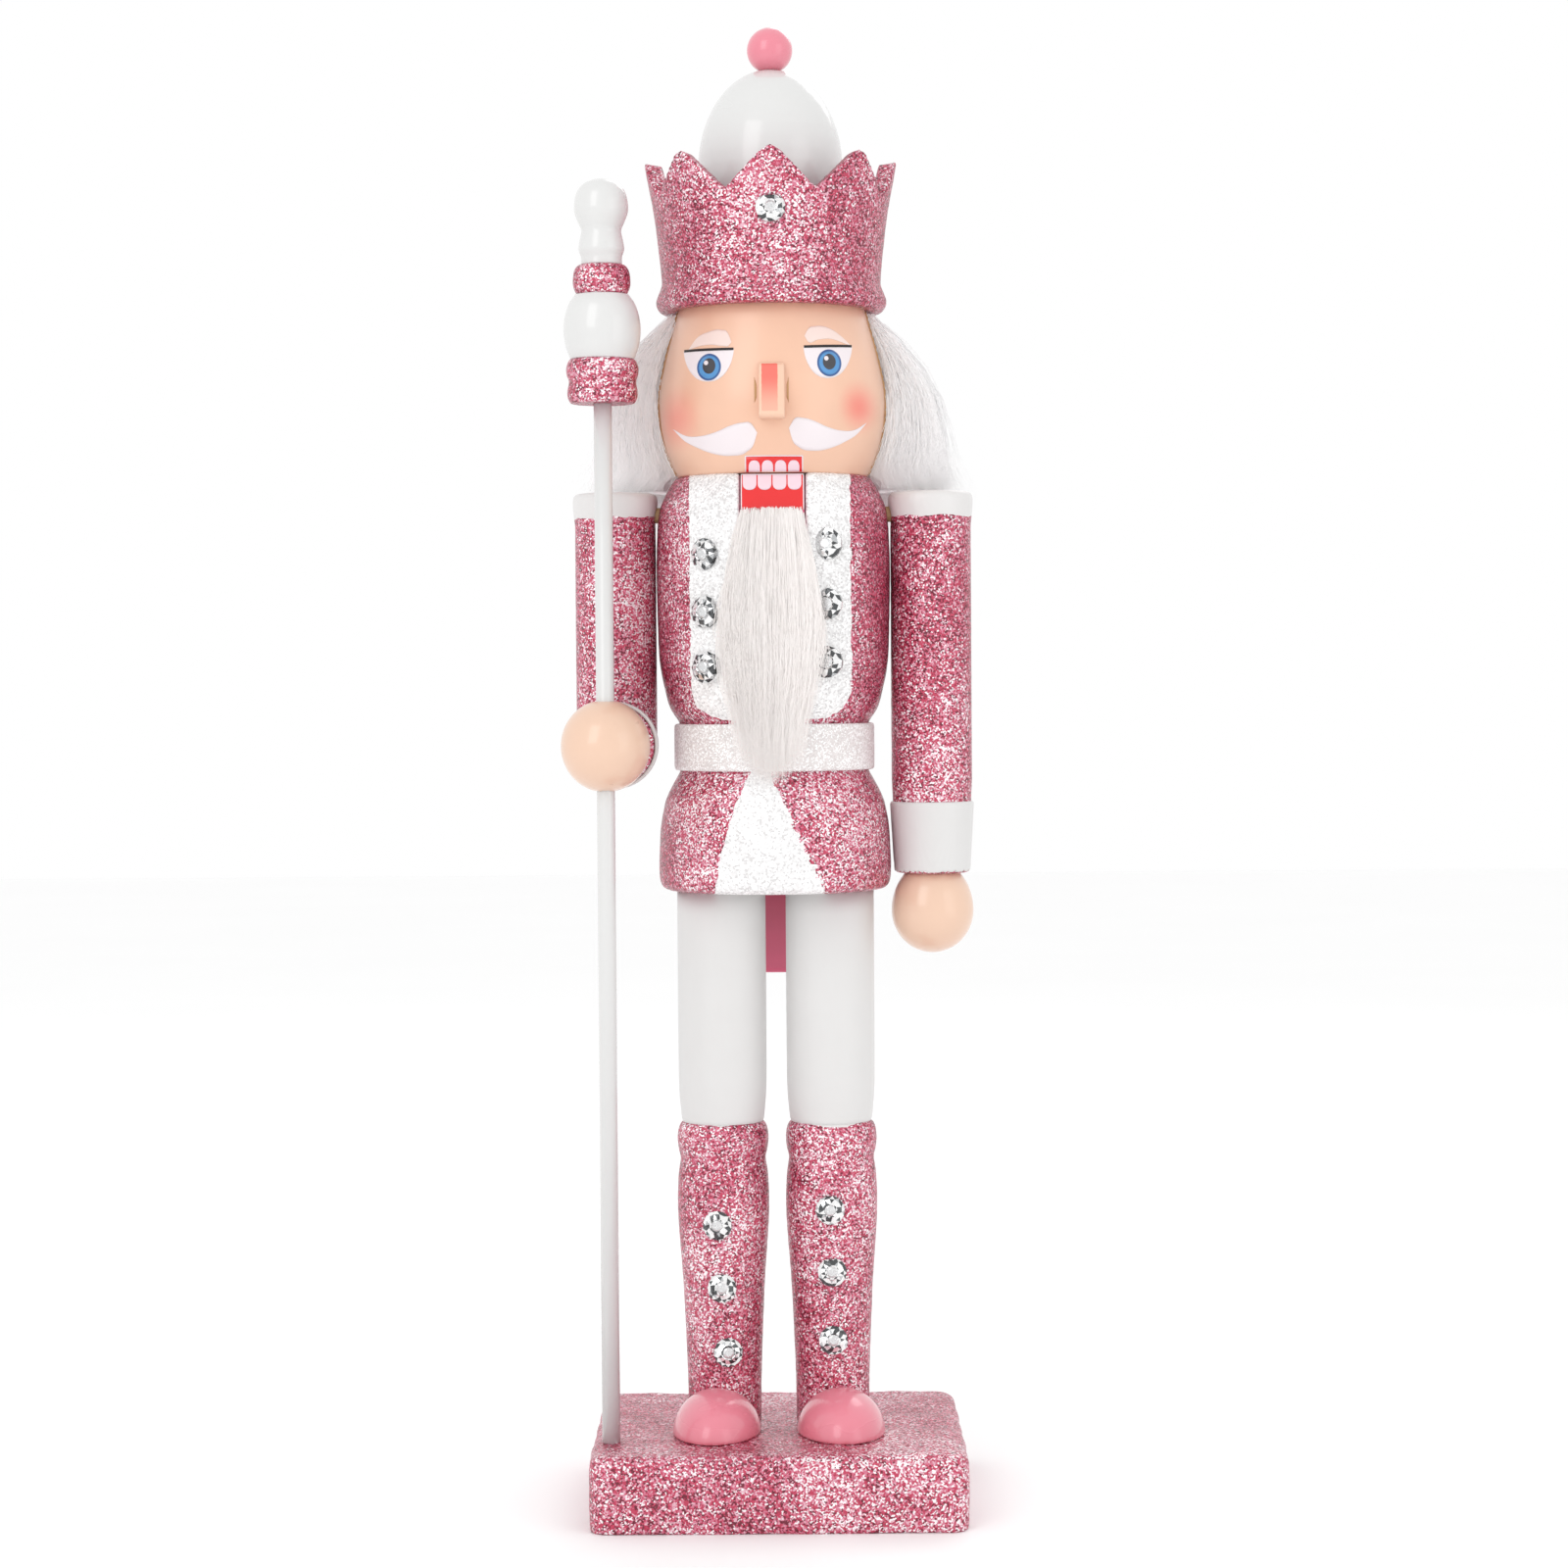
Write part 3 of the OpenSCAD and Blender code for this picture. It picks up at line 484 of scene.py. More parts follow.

# Each flat facet of the foil has its own direction, and a hash of the direction gives it a painted brightness from
# dark grey to white: painted reflections and shade, in place of the light each mirror facet would catch or miss
foil, g, bsdf = finish_graph("stone_foil", Metallic=0.9)
facet = g.vector("SNAP", g.add("ShaderNodeNewGeometry").outputs["True Normal"], (0.04, 0.04, 0.04))
painted_flash = g.add("ShaderNodeTexWhiteNoise", {"Vector": facet}).outputs["Value"]
tint = g.blend(g.math("GREATER_THAN", painted_flash, 0.34), rgb(78, 80, 82), rgb(196, 198, 200))
g.plug(g.blend(g.math("GREATER_THAN", painted_flash, 0.42), tint, rgb(250, 250, 250)), bsdf.inputs["Base Color"])
g.plug(g.math("MULTIPLY_ADD", painted_flash, 0.2, 0.08), bsdf.inputs["Roughness"])

# The table is a near-white disc under the clear cap: a painted reflection of the bright studio in the stone's flat
# top
table_reflection_paint, g, bsdf = finish_graph("stone_table", Metallic=0.5)
tint = g.noise(here(g), 1500.0, 1.0)
g.plug(g.blend(tint, rgb(236, 238, 240), rgb(255, 255, 255)), bsdf.inputs["Base Color"])
g.plug(g.math("MULTIPLY_ADD", tint, 0.2, 0.15), bsdf.inputs["Roughness"])

print("finishes in all:", len(bpy.data.materials))

# %% [markdown]
# ## Turned parts, smoothed on the lathe again
# The frame's meshes are coarse. A turned part is fully described by its outline, so we read the widest
# radius at each height of the frame's own mesh, draw a smooth curve through those points, and spin it anew.

# %% Read an outline from a part, and spin it
def outline_of(node, center):
    """(height, radius) pairs of a turned part, bottom to top, about an upright line through center."""
    points = np.array([v.co for v in nodes[node].data.vertices])
    radius = np.hypot(points[:, 0] - center[0], points[:, 1] - center[1])
    height = np.round(points[:, 2] / (0.05 * MM)) * 0.05 * MM
    rows = [(h, radius[height == h].max()) for h in np.unique(height)]
    # A dowel hole ends at a height where the outline itself has no point: drop any row that dips inwards
    kept = [rows[0]]
    for i in range(1, len(rows) - 1):
        if rows[i][1] > 0.9 * min(kept[-1][1], max(r for _, r in rows[i + 1:i + 4])):
            kept.append(rows[i])
    return np.array(kept + [rows[-1]])


def spin(name, outline, center, material, segments=128, steps=2):
    """A closed, smooth mesh of revolution through an outline of (height, radius)."""
    at = np.concatenate([[0], np.cumsum(np.hypot(*np.diff(outline, axis=0).T))])
    fine = np.interp(np.arange(steps * (len(at) - 1) + 1) / steps, np.arange(len(at)), at)
    rows = np.column_stack([np.interp(fine, at, outline[:, k]) for k in (0, 1)])
    for _ in range(steps):
        rows[1:-1] = 0.25 * rows[:-2] + 0.5 * rows[1:-1] + 0.25 * rows[2:]
    mesh = bmesh.new()
    angles = np.arange(segments) * 2 * math.pi / segments
    rings = []
    for z, r in rows:
        rings.append([mesh.verts.new((center[0] + r * math.cos(a), center[1] + r * math.sin(a), z)) for a in angles])
    for low, high in zip(rings, rings[1:]):
        for i in range(segments):
            j = (i + 1) % segments
            mesh.faces.new((low[i], low[j], high[j], high[i]))
    mesh.faces.new(reversed(rings[0]))
    mesh.faces.new(rings[-1])
    bmesh.ops.recalc_face_normals(mesh, faces=mesh.faces)
    return to_object(name, mesh, material)


def to_object(name, mesh, material, smooth=True):
    data = bpy.data.meshes.new(name)
    mesh.to_mesh(data)
    mesh.free()
    data.materials.append(material)
    for polygon in data.polygons:
        polygon.use_smooth = smooth
    return new_object(name, data)


def stands_for(piece, body, slot, *parts):
    """Ties a finished piece to its moving body, in place of the frame's parts that it shows. The slot is not used.
    """
    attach(piece, body)
    if parts:
        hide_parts(*parts)
    return piece


LEG_X = (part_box("leg_right")[0][0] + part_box("leg_right")[1][0]) / 2
ARM_X = (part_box("straight_cuff")[0][0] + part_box("straight_cuff")[1][0]) / 2
STAFF_X, STAFF_Y = [(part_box("staff_rod")[0][i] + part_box("staff_rod")[1][i]) / 2 for i in (0, 1)]
HEAD_LINE = outline_of("head", (0, 0))


def turned_again(part, center, body, slot, material, segments=128):
    piece = spin(part + "_turned", outline_of(part, center), center, material, segments)
    return stands_for(piece, body, slot, part)


turned_again("head", (0, 0), "figure", "skin_paint", skin, segments=160)
turned_again("crown_dome", (0, 0), "figure", "white_gloss", white_gloss)
turned_again("top_knob", (0, 0), "figure", "pink_gloss", pink_gloss)
turned_again("straight_hand", (ARM_X, 0), "figure", "hand_paint", hand_paint)
for side, x in (("left", -LEG_X), ("right", LEG_X)):
    turned_again("leg_" + side, (x, 0), "figure", "white_satin", white_satin)
for part in ("staff_rod", "staff_bulb", "staff_knob"):
    turned_again(part, (STAFF_X, STAFF_Y), "staff", "white_gloss", white_gloss, segments=96)

# %% [markdown]
# ## Dipped parts, with soft edges
# Glue and glitter round every edge and leave a lumpy skin. We copy the exact part, remesh the copy into
# small even squares, relax them, and push them in and out with noise. Remeshing suits these parts because a
# notch or a slot needs no special care, where beveling a coarse mesh would.

# %% Remesh, relax and roughen a copy
def dipped(part, body, material, grid=0.6, relax=4, lumps=0.12, slot="pink_glitter", coat=0.02, lump_size=2.2):
    """A softened copy. grid, lumps, coat and lump_size are in millimetres; relax counts the smoothing passes."""
    data = nodes[part].data.copy()
    piece = new_object(part + "_dipped", data)
    mesh = bmesh.new()
    mesh.from_mesh(data)
    bmesh.ops.remove_doubles(mesh, verts=mesh.verts, dist=0.002 * MM)
    mesh.to_mesh(data)
    mesh.free()
    remesh = piece.modifiers.new("even", "REMESH")
    remesh.mode, remesh.voxel_size = "VOXEL", grid * MM
    soften = piece.modifiers.new("soft", "SMOOTH")
    soften.iterations, soften.factor = relax, 0.5
    noise = bpy.data.textures.new(part + "_lumps", "CLOUDS")
    noise.noise_scale = lump_size * MM
    push = piece.modifiers.new("lumps", "DISPLACE")
    push.texture, push.strength, push.mid_level = noise, lumps * MM, 0.5 - coat / lumps
    done = bpy.data.meshes.new_from_object(piece.evaluated_get(bpy.context.evaluated_depsgraph_get()))
    piece.modifiers.clear()
    piece.data = done
    done.materials.clear()
    done.materials.append(material)
    for polygon in done.polygons:
        polygon.use_smooth = True
    return stands_for(piece, body, slot, part)


DIPPED = [
    ("base", block_finish, 1.0), ("torso", coat_finish, 0.85), ("crown", pink_glitter, 0.62),
    ("boot_left", boot_finish, 0.62), ("boot_right", boot_finish, 0.62),
    ("straight_arm", sleeve_finish, 0.7), ("staff_upper_arm", sleeve_finish, 0.7),
    ("staff_forearm", pink_glitter, 0.7),
]
for part, material, grid in DIPPED:
    # Arms and coat carry the thickest coat of glue and glitter, and so nearly touch
    thick = {"torso": 0.2, "straight_arm": 0.2, "staff_upper_arm": 0.2, "crown": 0.06}.get(part, 0.02)
    wavy = {"lumps": 0.7, "lump_size": 9.0} if part == "base" else {}
    relax = {"boot_left": 2, "boot_right": 2, "crown": 6}.get(part, 4)
    piece = dipped(part, "figure", material, grid, relax, coat=thick, **wavy)
    print(piece.name, "faces", len(piece.data.polygons))
for part in ("staff_lower_collar", "staff_upper_collar"):
    dipped(part, "staff", pink_glitter, 0.35, relax=2)
dipped("belt", "figure", foam, 0.55, relax=3, lumps=0.05, slot="white_glitter")
for part in ("shoe_left", "shoe_right"):
    dipped(part, "figure", pink_gloss, 0.5, relax=6, lumps=0.02, slot="pink_gloss")
dipped("staff_hand", "figure", hand_paint, 0.55, relax=5, lumps=0.02, slot="hand_paint")
for part in ("straight_cuff", "staff_cuff"):
    dipped(part, "figure", white_satin, 0.45, relax=2, lumps=0.02, slot="white_satin")
dipped("nose", "figure", nose_finish, 0.25, relax=2, lumps=0.01, slot="skin_paint")
dipped("jaw_lever", "jaw", lever_paint, 0.6, relax=2, lumps=0.03, slot="lever_pink")

# %% [markdown]
# ## Dowels, screws and the pin
# These sit inside the figure, where no softening would show. They keep the frame's exact mesh, and only get
# a real finish in place of the plain one: dry beech for the dowels, plain steel for the screws and the pin.

# %% Materials for the parts that keep the frame's own mesh
KEPT = {
    bare_wood: ("hip_dowels", "neck_dowels", "crown_dowel", "knob_dowel", "shoulder_dowels", "wrist_dowels",
                "elbow_dowel"),
    steel: ("base_screws", "jaw_pin"),
}
for material, parts in KEPT.items():
    for part in parts:
        nodes[part].data.materials.clear()
        nodes[part].data.materials.append(material)
print("parts that keep their mesh:", sum(len(parts) for parts in KEPT.values()))

# %% [markdown]
# ## The printed face
# Eyes, brows, moustache and mouth are pad-printed on the turned head: films of ink a hair thick. We build
# each as a thin closed sheet that follows the head. A shape is given by its upper and lower edge as
# functions of the sideways place, which suits lids, brows, moustache and teeth alike, and each column of
# points is then laid on the head's own outline.

# %% A film of ink on the head
def head_radius(z):
    return np.interp(z, HEAD_LINE[:, 0], HEAD_LINE[:, 1])


def on_head(x, z):
    return -math.sqrt(max(head_radius(z) ** 2 - x * x, 1e-9))


jaw_points = np.array([v.co for v in nodes["jaw_lever"].data.vertices])
jaw_levels = np.unique(np.round(jaw_points[jaw_points[:, 1] < -0.018, 2], 5))
JAW_LINE = np.array([(z, jaw_points[np.abs(jaw_points[:, 2] - z) < 2e-5, 1].min()) for z in jaw_levels])


def on_jaw(x, z):
    """The jaw's front face is flat from side to side, and follows the board's profile from top to bottom."""
    return float(np.interp(z, JAW_LINE[:, 0], JAW_LINE[:, 1]))


def film(name, shapes, material, lift, surface=on_head, columns=28, rows=8, body="figure", slot="skin_paint"):
    """A printed film. Each shape is (left, right, top, bottom) in millimetres, edges as functions of 0 to 1."""
    mesh = bmesh.new()
    for left, right, top, bottom in shapes:
        grid = []
        for i in range(columns + 1):
            t = 0.5 - 0.5 * math.cos(math.pi * i / columns)
            x = left + (right - left) * t
            high, low = top(t), bottom(t)
            column = []
            for j in range(rows + 1):
                z = NECK + (low + (high - low) * j / rows) * MM
                y = surface(x * MM, z)
                column.append([mesh.verts.new((x * MM, y + d * MM, z)) for d in (-lift, 0.15)])
            grid.append(column)
        for i in range(columns):
            for j in range(rows):
                a, b, c, d = grid[i][j], grid[i + 1][j], grid[i + 1][j + 1], grid[i][j + 1]
                mesh.faces.new((a[0], b[0], c[0], d[0]))
                mesh.faces.new((a[1], d[1], c[1], b[1]))
        rim = [grid[i][0] for i in range(columns + 1)] + [grid[columns][j] for j in range(1, rows + 1)]
        rim += [grid[i][rows] for i in range(columns - 1, -1, -1)] + [grid[0][j] for j in range(rows - 1, 0, -1)]
        for a, b in zip(rim, rim[1:] + rim[:1]):
            mesh.faces.new((a[0], a[1], b[1], b[0]))
    bmesh.ops.remove_doubles(mesh, verts=mesh.verts, dist=1e-6)
    bmesh.ops.recalc_face_normals(mesh, faces=mesh.faces)
    print("film", name, "shapes", len(shapes))
    return stands_for(to_object(name, mesh, material), body, slot)


def oval(x, z, half_w, half_h):
    """An oval as a film's shape."""
    bow = lambda t: half_h * math.sqrt(max(1 - (2 * t - 1) ** 2, 0))
    return (x - half_w, x + half_w, lambda t: z + bow(t), lambda t: z - bow(t))


def curve(*points):
    """A smooth edge through (t, height) points."""
    ts, hs = zip(*points)
    slopes = np.gradient(hs, ts)
    def edge(t):
        k = min(max(np.searchsorted(ts, t) - 1, 0), len(ts) - 2)
        w = ts[k + 1] - ts[k]
        s = (t - ts[k]) / w
        return ((2 * s**3 - 3 * s**2 + 1) * hs[k] + (s**3 - 2 * s**2 + s) * w * slopes[k]
                + (3 * s**2 - 2 * s**3) * hs[k + 1] + (s**3 - s**2) * w * slopes[k + 1])
    return edge


print("widest head radius, mm:", round(HEAD_LINE[:, 1].max() / MM, 1), "- heights on the jaw:", len(JAW_LINE))

# %% [markdown]
# ## Eyes and brows
# An eye is a stack of inks, printed from the bottom up: the white, a dark blue ring, the blue iris, the
# pupil, a glint, and last the black line of the lid. Each ink lies a few hundredths of a millimetre above
# the one below, so that none of them shimmers through another. The lid is the straight top of the white.

# %% Eyes and brows
# Middle, half-width, lid height and iris middle of each eye, in millimetres; the two are never quite alike
EYES = ((-15.8, 6.4, 31.0, -0.4, -15.7, 26.5), (14.2, 6.15, 31.6, 0.8, 14.5, 27.3))
whites, rings, irises, pupils, glints, lids = [], [], [], [], [], []
for x, half, lid_z, slope, iris_x, iris_z in EYES:
    lid = lambda t, z=lid_z, slope=slope: z + slope * (t - 0.5)
    whites.append((x - half, x + half, lid,
                   lambda t, lid=lid: lid(t) - 8.2 * max(1 - abs(2 * t - 1) ** 2.3, 0) ** 0.6))
    rings.append(oval(iris_x, iris_z, 3.05, 3.45))
    irises.append(oval(iris_x, iris_z, 2.55, 2.95))
    pupils.append(oval(iris_x, iris_z + 0.3, 1.63, 2.0))
    glints.append(oval(iris_x - 0.75, iris_z + 1.15, 0.55, 0.6))
    lids.append((x - half + 0.1, x + half - 0.1, lambda t, lid=lid: lid(t) + 0.34,
                 lambda t, lid=lid: lid(t) - 0.3))
brows = [
    (-21.1, -10.0, curve((0, 31.3), (0.2, 34.2), (0.48, 35.6), (0.76, 35.9), (0.93, 34.8), (1, 32.6)),
     curve((0, 31.3), (0.24, 32.0), (0.52, 32.2), (0.8, 31.7), (0.95, 31.8), (1, 32.6))),
    (8.3, 20.2, curve((0, 34.0), (0.07, 35.7), (0.24, 36.6), (0.54, 36.2), (0.8, 34.2), (1, 32.0)),
     curve((0, 34.0), (0.06, 32.7), (0.28, 33.1), (0.54, 33.5), (0.76, 32.9), (1, 32.0))),
]
film("eye_whites", whites, print_white, 0.06)
film("iris_rings", rings, print_ring, 0.10)
film("irises", irises, print_blue, 0.13)
film("pupils", pupils, print_grey, 0.16)
film("eye_glints", glints, print_white, 0.19, columns=12, rows=4)
film("eyelid_lines", lids, print_black, 0.12, rows=2)
film("eyebrows", brows, print_soft, 0.10)

# %% [markdown]
# ## Glue and moustache
# The nose is glued on, and a little glue squeezes out in a thin arc on either side and dries to tan. The
# moustache is one print, a pair of handlebars: full beside the nose, then thin and turned up towards the
# cheeks. One half is drawn, and mirrored for the other cheek at a slightly different size and height.

# %% Dried glue beside the nose
film("nose_glue", [(-4.35, -3.75, lambda t: 23.5 - 2 * t, lambda t: 17.0 + 1.5 * t),
                   (3.75, 4.25, lambda t: 21.5 + 2 * t, lambda t: 18.5 - 1.5 * t)], glue_tan, 0.07, columns=4)

# %% Moustache
handlebar_top = curve((0, 0), (0.15, -2.0), (0.35, -2.4), (0.52, -1.6), (0.69, -0.2), (0.82, 0.4), (0.94, 0),
                      (1, -2.1))
handlebar_low = curve((0, 0), (0.12, -2.9), (0.3, -5.3), (0.48, -6.9), (0.69, -7.6), (0.88, -6.7), (0.96, -4.9),
                      (1, -2.1))
moustache = []
for inner, outer, z, flip in ((-3.7, -25.2, 11.8, False), (4.25, 24.0, 12.9, True)):
    turn = (lambda f: lambda t: f(1 - t)) if flip else (lambda f: f)
    left, right = sorted((inner, outer))
    moustache.append((left, right, lambda t, f=turn(handlebar_top), z=z: z + f(t),
                      lambda t, f=turn(handlebar_low), z=z: z + f(t)))
film("moustache", moustache, print_white, 0.10, columns=44)

# %% [markdown]
# ## Mouth and teeth
# The mouth is what moves, so it is printed in two halves. The upper teeth belong to the head, and the lower
# teeth to the jaw board, whose films ride with the jaw. The two rows meet at the neck when the jaw is shut.

# %% Mouth and teeth, above on the head and below on the jaw
def bar(left, right, low, high):
    """An upright rectangle as a film's shape."""
    return (left, right, lambda t: high, lambda t: low)


def tooth(x, half, low, high, point_down=False):
    """A rounded tooth: square at one end, an arch at the other."""
    arch = lambda t: 1.0 * (1 - max(1 - abs(2 * t - 1) ** 2.6, 0) ** 0.5)
    if point_down:
        return (x - half, x + half, lambda t: high, lambda t: low + arch(t) * 1.6)
    return (x - half, x + half, lambda t: high - arch(t) * 1.6, lambda t: low)


MOUTH_X = 0.45
film("mouth_border", [bar(MOUTH_X - 7.3, MOUTH_X + 7.3, 0.15, 4.15)], print_white, 0.05, columns=16, rows=4)
film("mouth", [bar(MOUTH_X - 7.0, MOUTH_X + 7.0, 0.15, 3.85)], print_red, 0.09, columns=16, rows=4)
film("upper_teeth", [tooth(MOUTH_X + x, 1.42, 0.15, 2.95) for x in (-4.95, -1.65, 1.65, 4.95)], print_teeth, 0.14,
     columns=12, rows=4)
JAW_HALF = (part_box("jaw_lever")[1][0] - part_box("jaw_lever")[0][0]) / 2 / MM
film("jaw_paint", [bar(-JAW_HALF + 0.25, JAW_HALF - 0.25, -9.6, -0.6)], print_red, 0.06, on_jaw, 12, 10, "jaw",
     "lever_pink")
film("jaw_border", [bar(-JAW_HALF + 0.1, -JAW_HALF + 0.35, -9.6, -0.45),
                    bar(JAW_HALF - 0.35, JAW_HALF - 0.1, -9.6, -0.45),
                    bar(-JAW_HALF + 0.1, JAW_HALF - 0.1, -0.6, -0.4)],
     print_white, 0.1, on_jaw, 6, 6, "jaw", "lever_pink")
film("lower_teeth", [tooth(x, 1.72, -4.5, -0.6, True) for x in (-5.7, -1.95, 1.8, 5.55)], print_teeth, 0.14,
     on_jaw, 12, 6, "jaw", "lever_pink")

# %% [markdown]
# ## Stones
# A flat-backed stone is cut as a low cap: a flat table, a ring of facets that slope away, and a thin
# girdle. What makes it flash is the foil behind, pressed into a many-sided star, whose facets are painted
# light and dark as painted reflections. We model one cap, one star and one near-white disc under the table,
# a painted reflection, and let Geometry Nodes set each on a list of places, each place a point that carries
# the way the stone faces.

# %% One cut cap, one foil star and one painted reflection for the table
def faceted_ring_stack(rings, sides=12):
    """Closed facets between rings of (radius, height, share of a facet turned)."""
    mesh = bmesh.new()
    loops = []
    for radius, height, turn in rings:
        loops.append([mesh.verts.new((radius * math.cos(2 * math.pi * (i + turn) / sides),
                                      radius * math.sin(2 * math.pi * (i + turn) / sides), height))
                      for i in range(sides)])
    for (low, high), (_, _, turn_low), (_, _, turn_high) in zip(zip(loops, loops[1:]), rings, rings[1:]):
        for i in range(sides):
            j = (i + 1) % sides
            if turn_low == turn_high:
                mesh.faces.new((low[i], low[j], high[j], high[i]))
            elif turn_high > turn_low:
                mesh.faces.new((low[i], low[j], high[i]))
                mesh.faces.new((low[j], high[j], high[i]))
            else:
                mesh.faces.new((low[i], high[j], high[i]))
                mesh.faces.new((low[i], low[j], high[j]))
    mesh.faces.new(reversed(loops[0]))
    mesh.faces.new(loops[-1])
    bmesh.ops.recalc_face_normals(mesh, faces=mesh.faces)
    return mesh


def loose_mesh(name, mesh, material):
    data = bpy.data.meshes.new(name)
    mesh.to_mesh(data)
    mesh.free()
    data.materials.append(material)
    return data


STONE_R = 3.5 * MM
RINGS = {
    "caps": [(1.0, -0.02, 0), (1.0, 0.14, 0), (0.8, 0.36, 0.5), (0.56, 0.5, 0)],
    "foils": [(1.0, -0.2, 0), (0.99, 0.1, 0), (0.76, 0.18, 0.5), (0.5, 0.3, 0), (0.4, 0.28, 0.5)],
    "tables": [(0.38, 0.2, 0), (0.38, 0.34, 0), (0.26, 0.38, 0.5)],
}
PATTERNS = {}
for kind, material in (("caps", clear_stone), ("foils", foil), ("tables", table_reflection_paint)):
    rings = [(r * STONE_R, h * STONE_R, t) for r, h, t in RINGS[kind]]
    cut = loose_mesh(kind, faceted_ring_stack(rings, 14), material)
    PATTERNS[kind] = bpy.data.objects.new("pattern_" + kind, cut)
    print("one of the", kind, "has", len(cut.polygons), "facets")


# %% [markdown]
# ## Setting the stones
# The stones are pressed on one by one, so no two are turned alike. The tree reads at each point which way
# the stone faces, aims the pattern there, and turns it by a seeded random amount. The places come from the
# frame's own gems: each loose island of a gem part gives the middle of its table and the direction of that
# table.

# %% A tree that sets stones on points
def setting_tree():
    tree = bpy.data.node_groups.new("Set Stones", "GeometryNodeTree")
    face = tree.interface
    face.new_socket(name="Geometry", in_out="INPUT", socket_type="NodeSocketGeometry")
    face.new_socket(name="Stone", in_out="INPUT", socket_type="NodeSocketObject")
    face.new_socket(name="Size", in_out="INPUT", socket_type="NodeSocketFloat").default_value = 1.0
    face.new_socket(name="Turn Seed", in_out="INPUT", socket_type="NodeSocketInt").default_value = 3
    face.new_socket(name="Finish", in_out="INPUT", socket_type="NodeSocketMaterial")
    face.new_socket(name="Geometry", in_out="OUTPUT", socket_type="NodeSocketGeometry")
    g = Graph(tree)
    given, result = g.add("NodeGroupInput").outputs, g.add("NodeGroupOutput").inputs
    stone = g.add("GeometryNodeObjectInfo", {"Object": given["Stone"]}).outputs["Geometry"]
    outward = g.add("GeometryNodeInputNamedAttribute", {"Name": "outward"}, data_type="FLOAT_VECTOR")
    aim = g.add("FunctionNodeAlignRotationToVector", {"Vector": outward.outputs[0]}, axis="Z")
    spin_by = g.add("FunctionNodeRandomValue", {"Max": (0.0, 0.0, 0.5), "Seed": given["Turn Seed"]},
                    data_type="FLOAT_VECTOR")
    turned = g.add("FunctionNodeRotateRotation", {0: aim.outputs[0], 1: spin_by.outputs[0]}, rotation_space="LOCAL")
    set_on = g.add("GeometryNodeInstanceOnPoints", {"Points": given["Geometry"], "Instance": stone,
                                                    "Rotation": turned.outputs[0], "Scale": given["Size"]})
    real = g.add("GeometryNodeRealizeInstances", {0: set_on.outputs[0]})
    finish = g.add("GeometryNodeSetMaterial", {0: real.outputs[0], "Material": given["Finish"]})
    g.plug(finish.outputs[0], result["Geometry"])
    return tree


SET_STONES = setting_tree()
print("the stone tree has", len(SET_STONES.nodes), "nodes")


def run_tree(piece, tree, values):
    """Adds the tree as a modifier, sets its inputs by identifier, and bakes the result to a plain mesh."""
    modifier = piece.modifiers.new(tree.name, "NODES")
    modifier.node_group = tree
    for item in tree.interface.items_tree:
        if item.in_out == "INPUT" and item.name in values:
            modifier[item.identifier] = values[item.name]
    bpy.context.view_layer.update()
    done = bpy.data.meshes.new_from_object(piece.evaluated_get(bpy.context.evaluated_depsgraph_get()))
    done.name = piece.name
    name = piece.name
    plain = new_object(name + "_set", done)
    bpy.data.objects.remove(piece)
    plain.name = name
    return plain


def islands(mesh):
    """Lists of vertices that hang together."""
    left = set(mesh.verts)
    for first in mesh.verts:
        if first not in left:
            continue
        left.discard(first)
        island, edge = [], [first]
        while edge:
            v = edge.pop()
            island.append(v)
            near = [e.other_vert(v) for e in v.link_edges if e.other_vert(v) in left]
            left.difference_update(near)
            edge += near
        yield island


def gem_places(part):
    """The middle and the direction of the table of each gem in a part of the frame."""
    places = []
    mesh = bmesh.new()
    mesh.from_mesh(nodes[part].data)
    bmesh.ops.remove_doubles(mesh, verts=mesh.verts, dist=0.01 * MM)
    for island in islands(mesh):
        faces = [f for v in island for f in v.link_faces]
        table = max((f for f in faces if f.normal.y < -0.3),
                    key=lambda f: f.calc_area() * 100 - f.calc_center_median().y)
        flat = [f for f in faces if f.normal.dot(table.normal) > 0.999]
        area = sum(f.calc_area() for f in flat)
        center = sum((f.calc_center_median() * f.calc_area() for f in flat), Vector()) / area
        places.append((center, table.normal.copy()))
    mesh.free()
    return places


def stones(name, parts, size=1.0):
    """Stones where the frame's own gems are."""
    places = [place for part in parts for place in gem_places(part)]
    for kind, pattern in PATTERNS.items():
        points = bpy.data.meshes.new(f"{name}_{kind}")
        points.from_pydata([c - n * (1.95 * MM) for c, n in places], [], [])
        outward = points.attributes.new("outward", "FLOAT_VECTOR", "POINT")
        outward.data.foreach_set("vector", [k for _, n in places for k in n])
        piece = run_tree(new_object(f"{name}_{kind}", points), SET_STONES,
                         {"Stone": pattern, "Size": size, "Finish": pattern.data.materials[0]})
        stands_for(piece, "figure", "gem_stone", *(parts if kind == "caps" else ()))
    print(name, "stones:", len(places))


stones("coat_stones", ["coat_gems"], 1.16)
stones("boot_stones", ["boot_gems_left", "boot_gems_right"], 1.07)
stones("crown_stone", ["crown_gem"], 3.8 / 3.5)

# %% [markdown]
# ## Fur
# Fur is made of locks. We draw a few hundred guide lines that say how the locks leave the glue line, fall,
# and turn out on the shoulders. Geometry Nodes then grow a bunch of hairs round each guide: every hair is
# the guide moved a little at its root and more at its tip, thinned to a point, and given a three-sided
# skin.

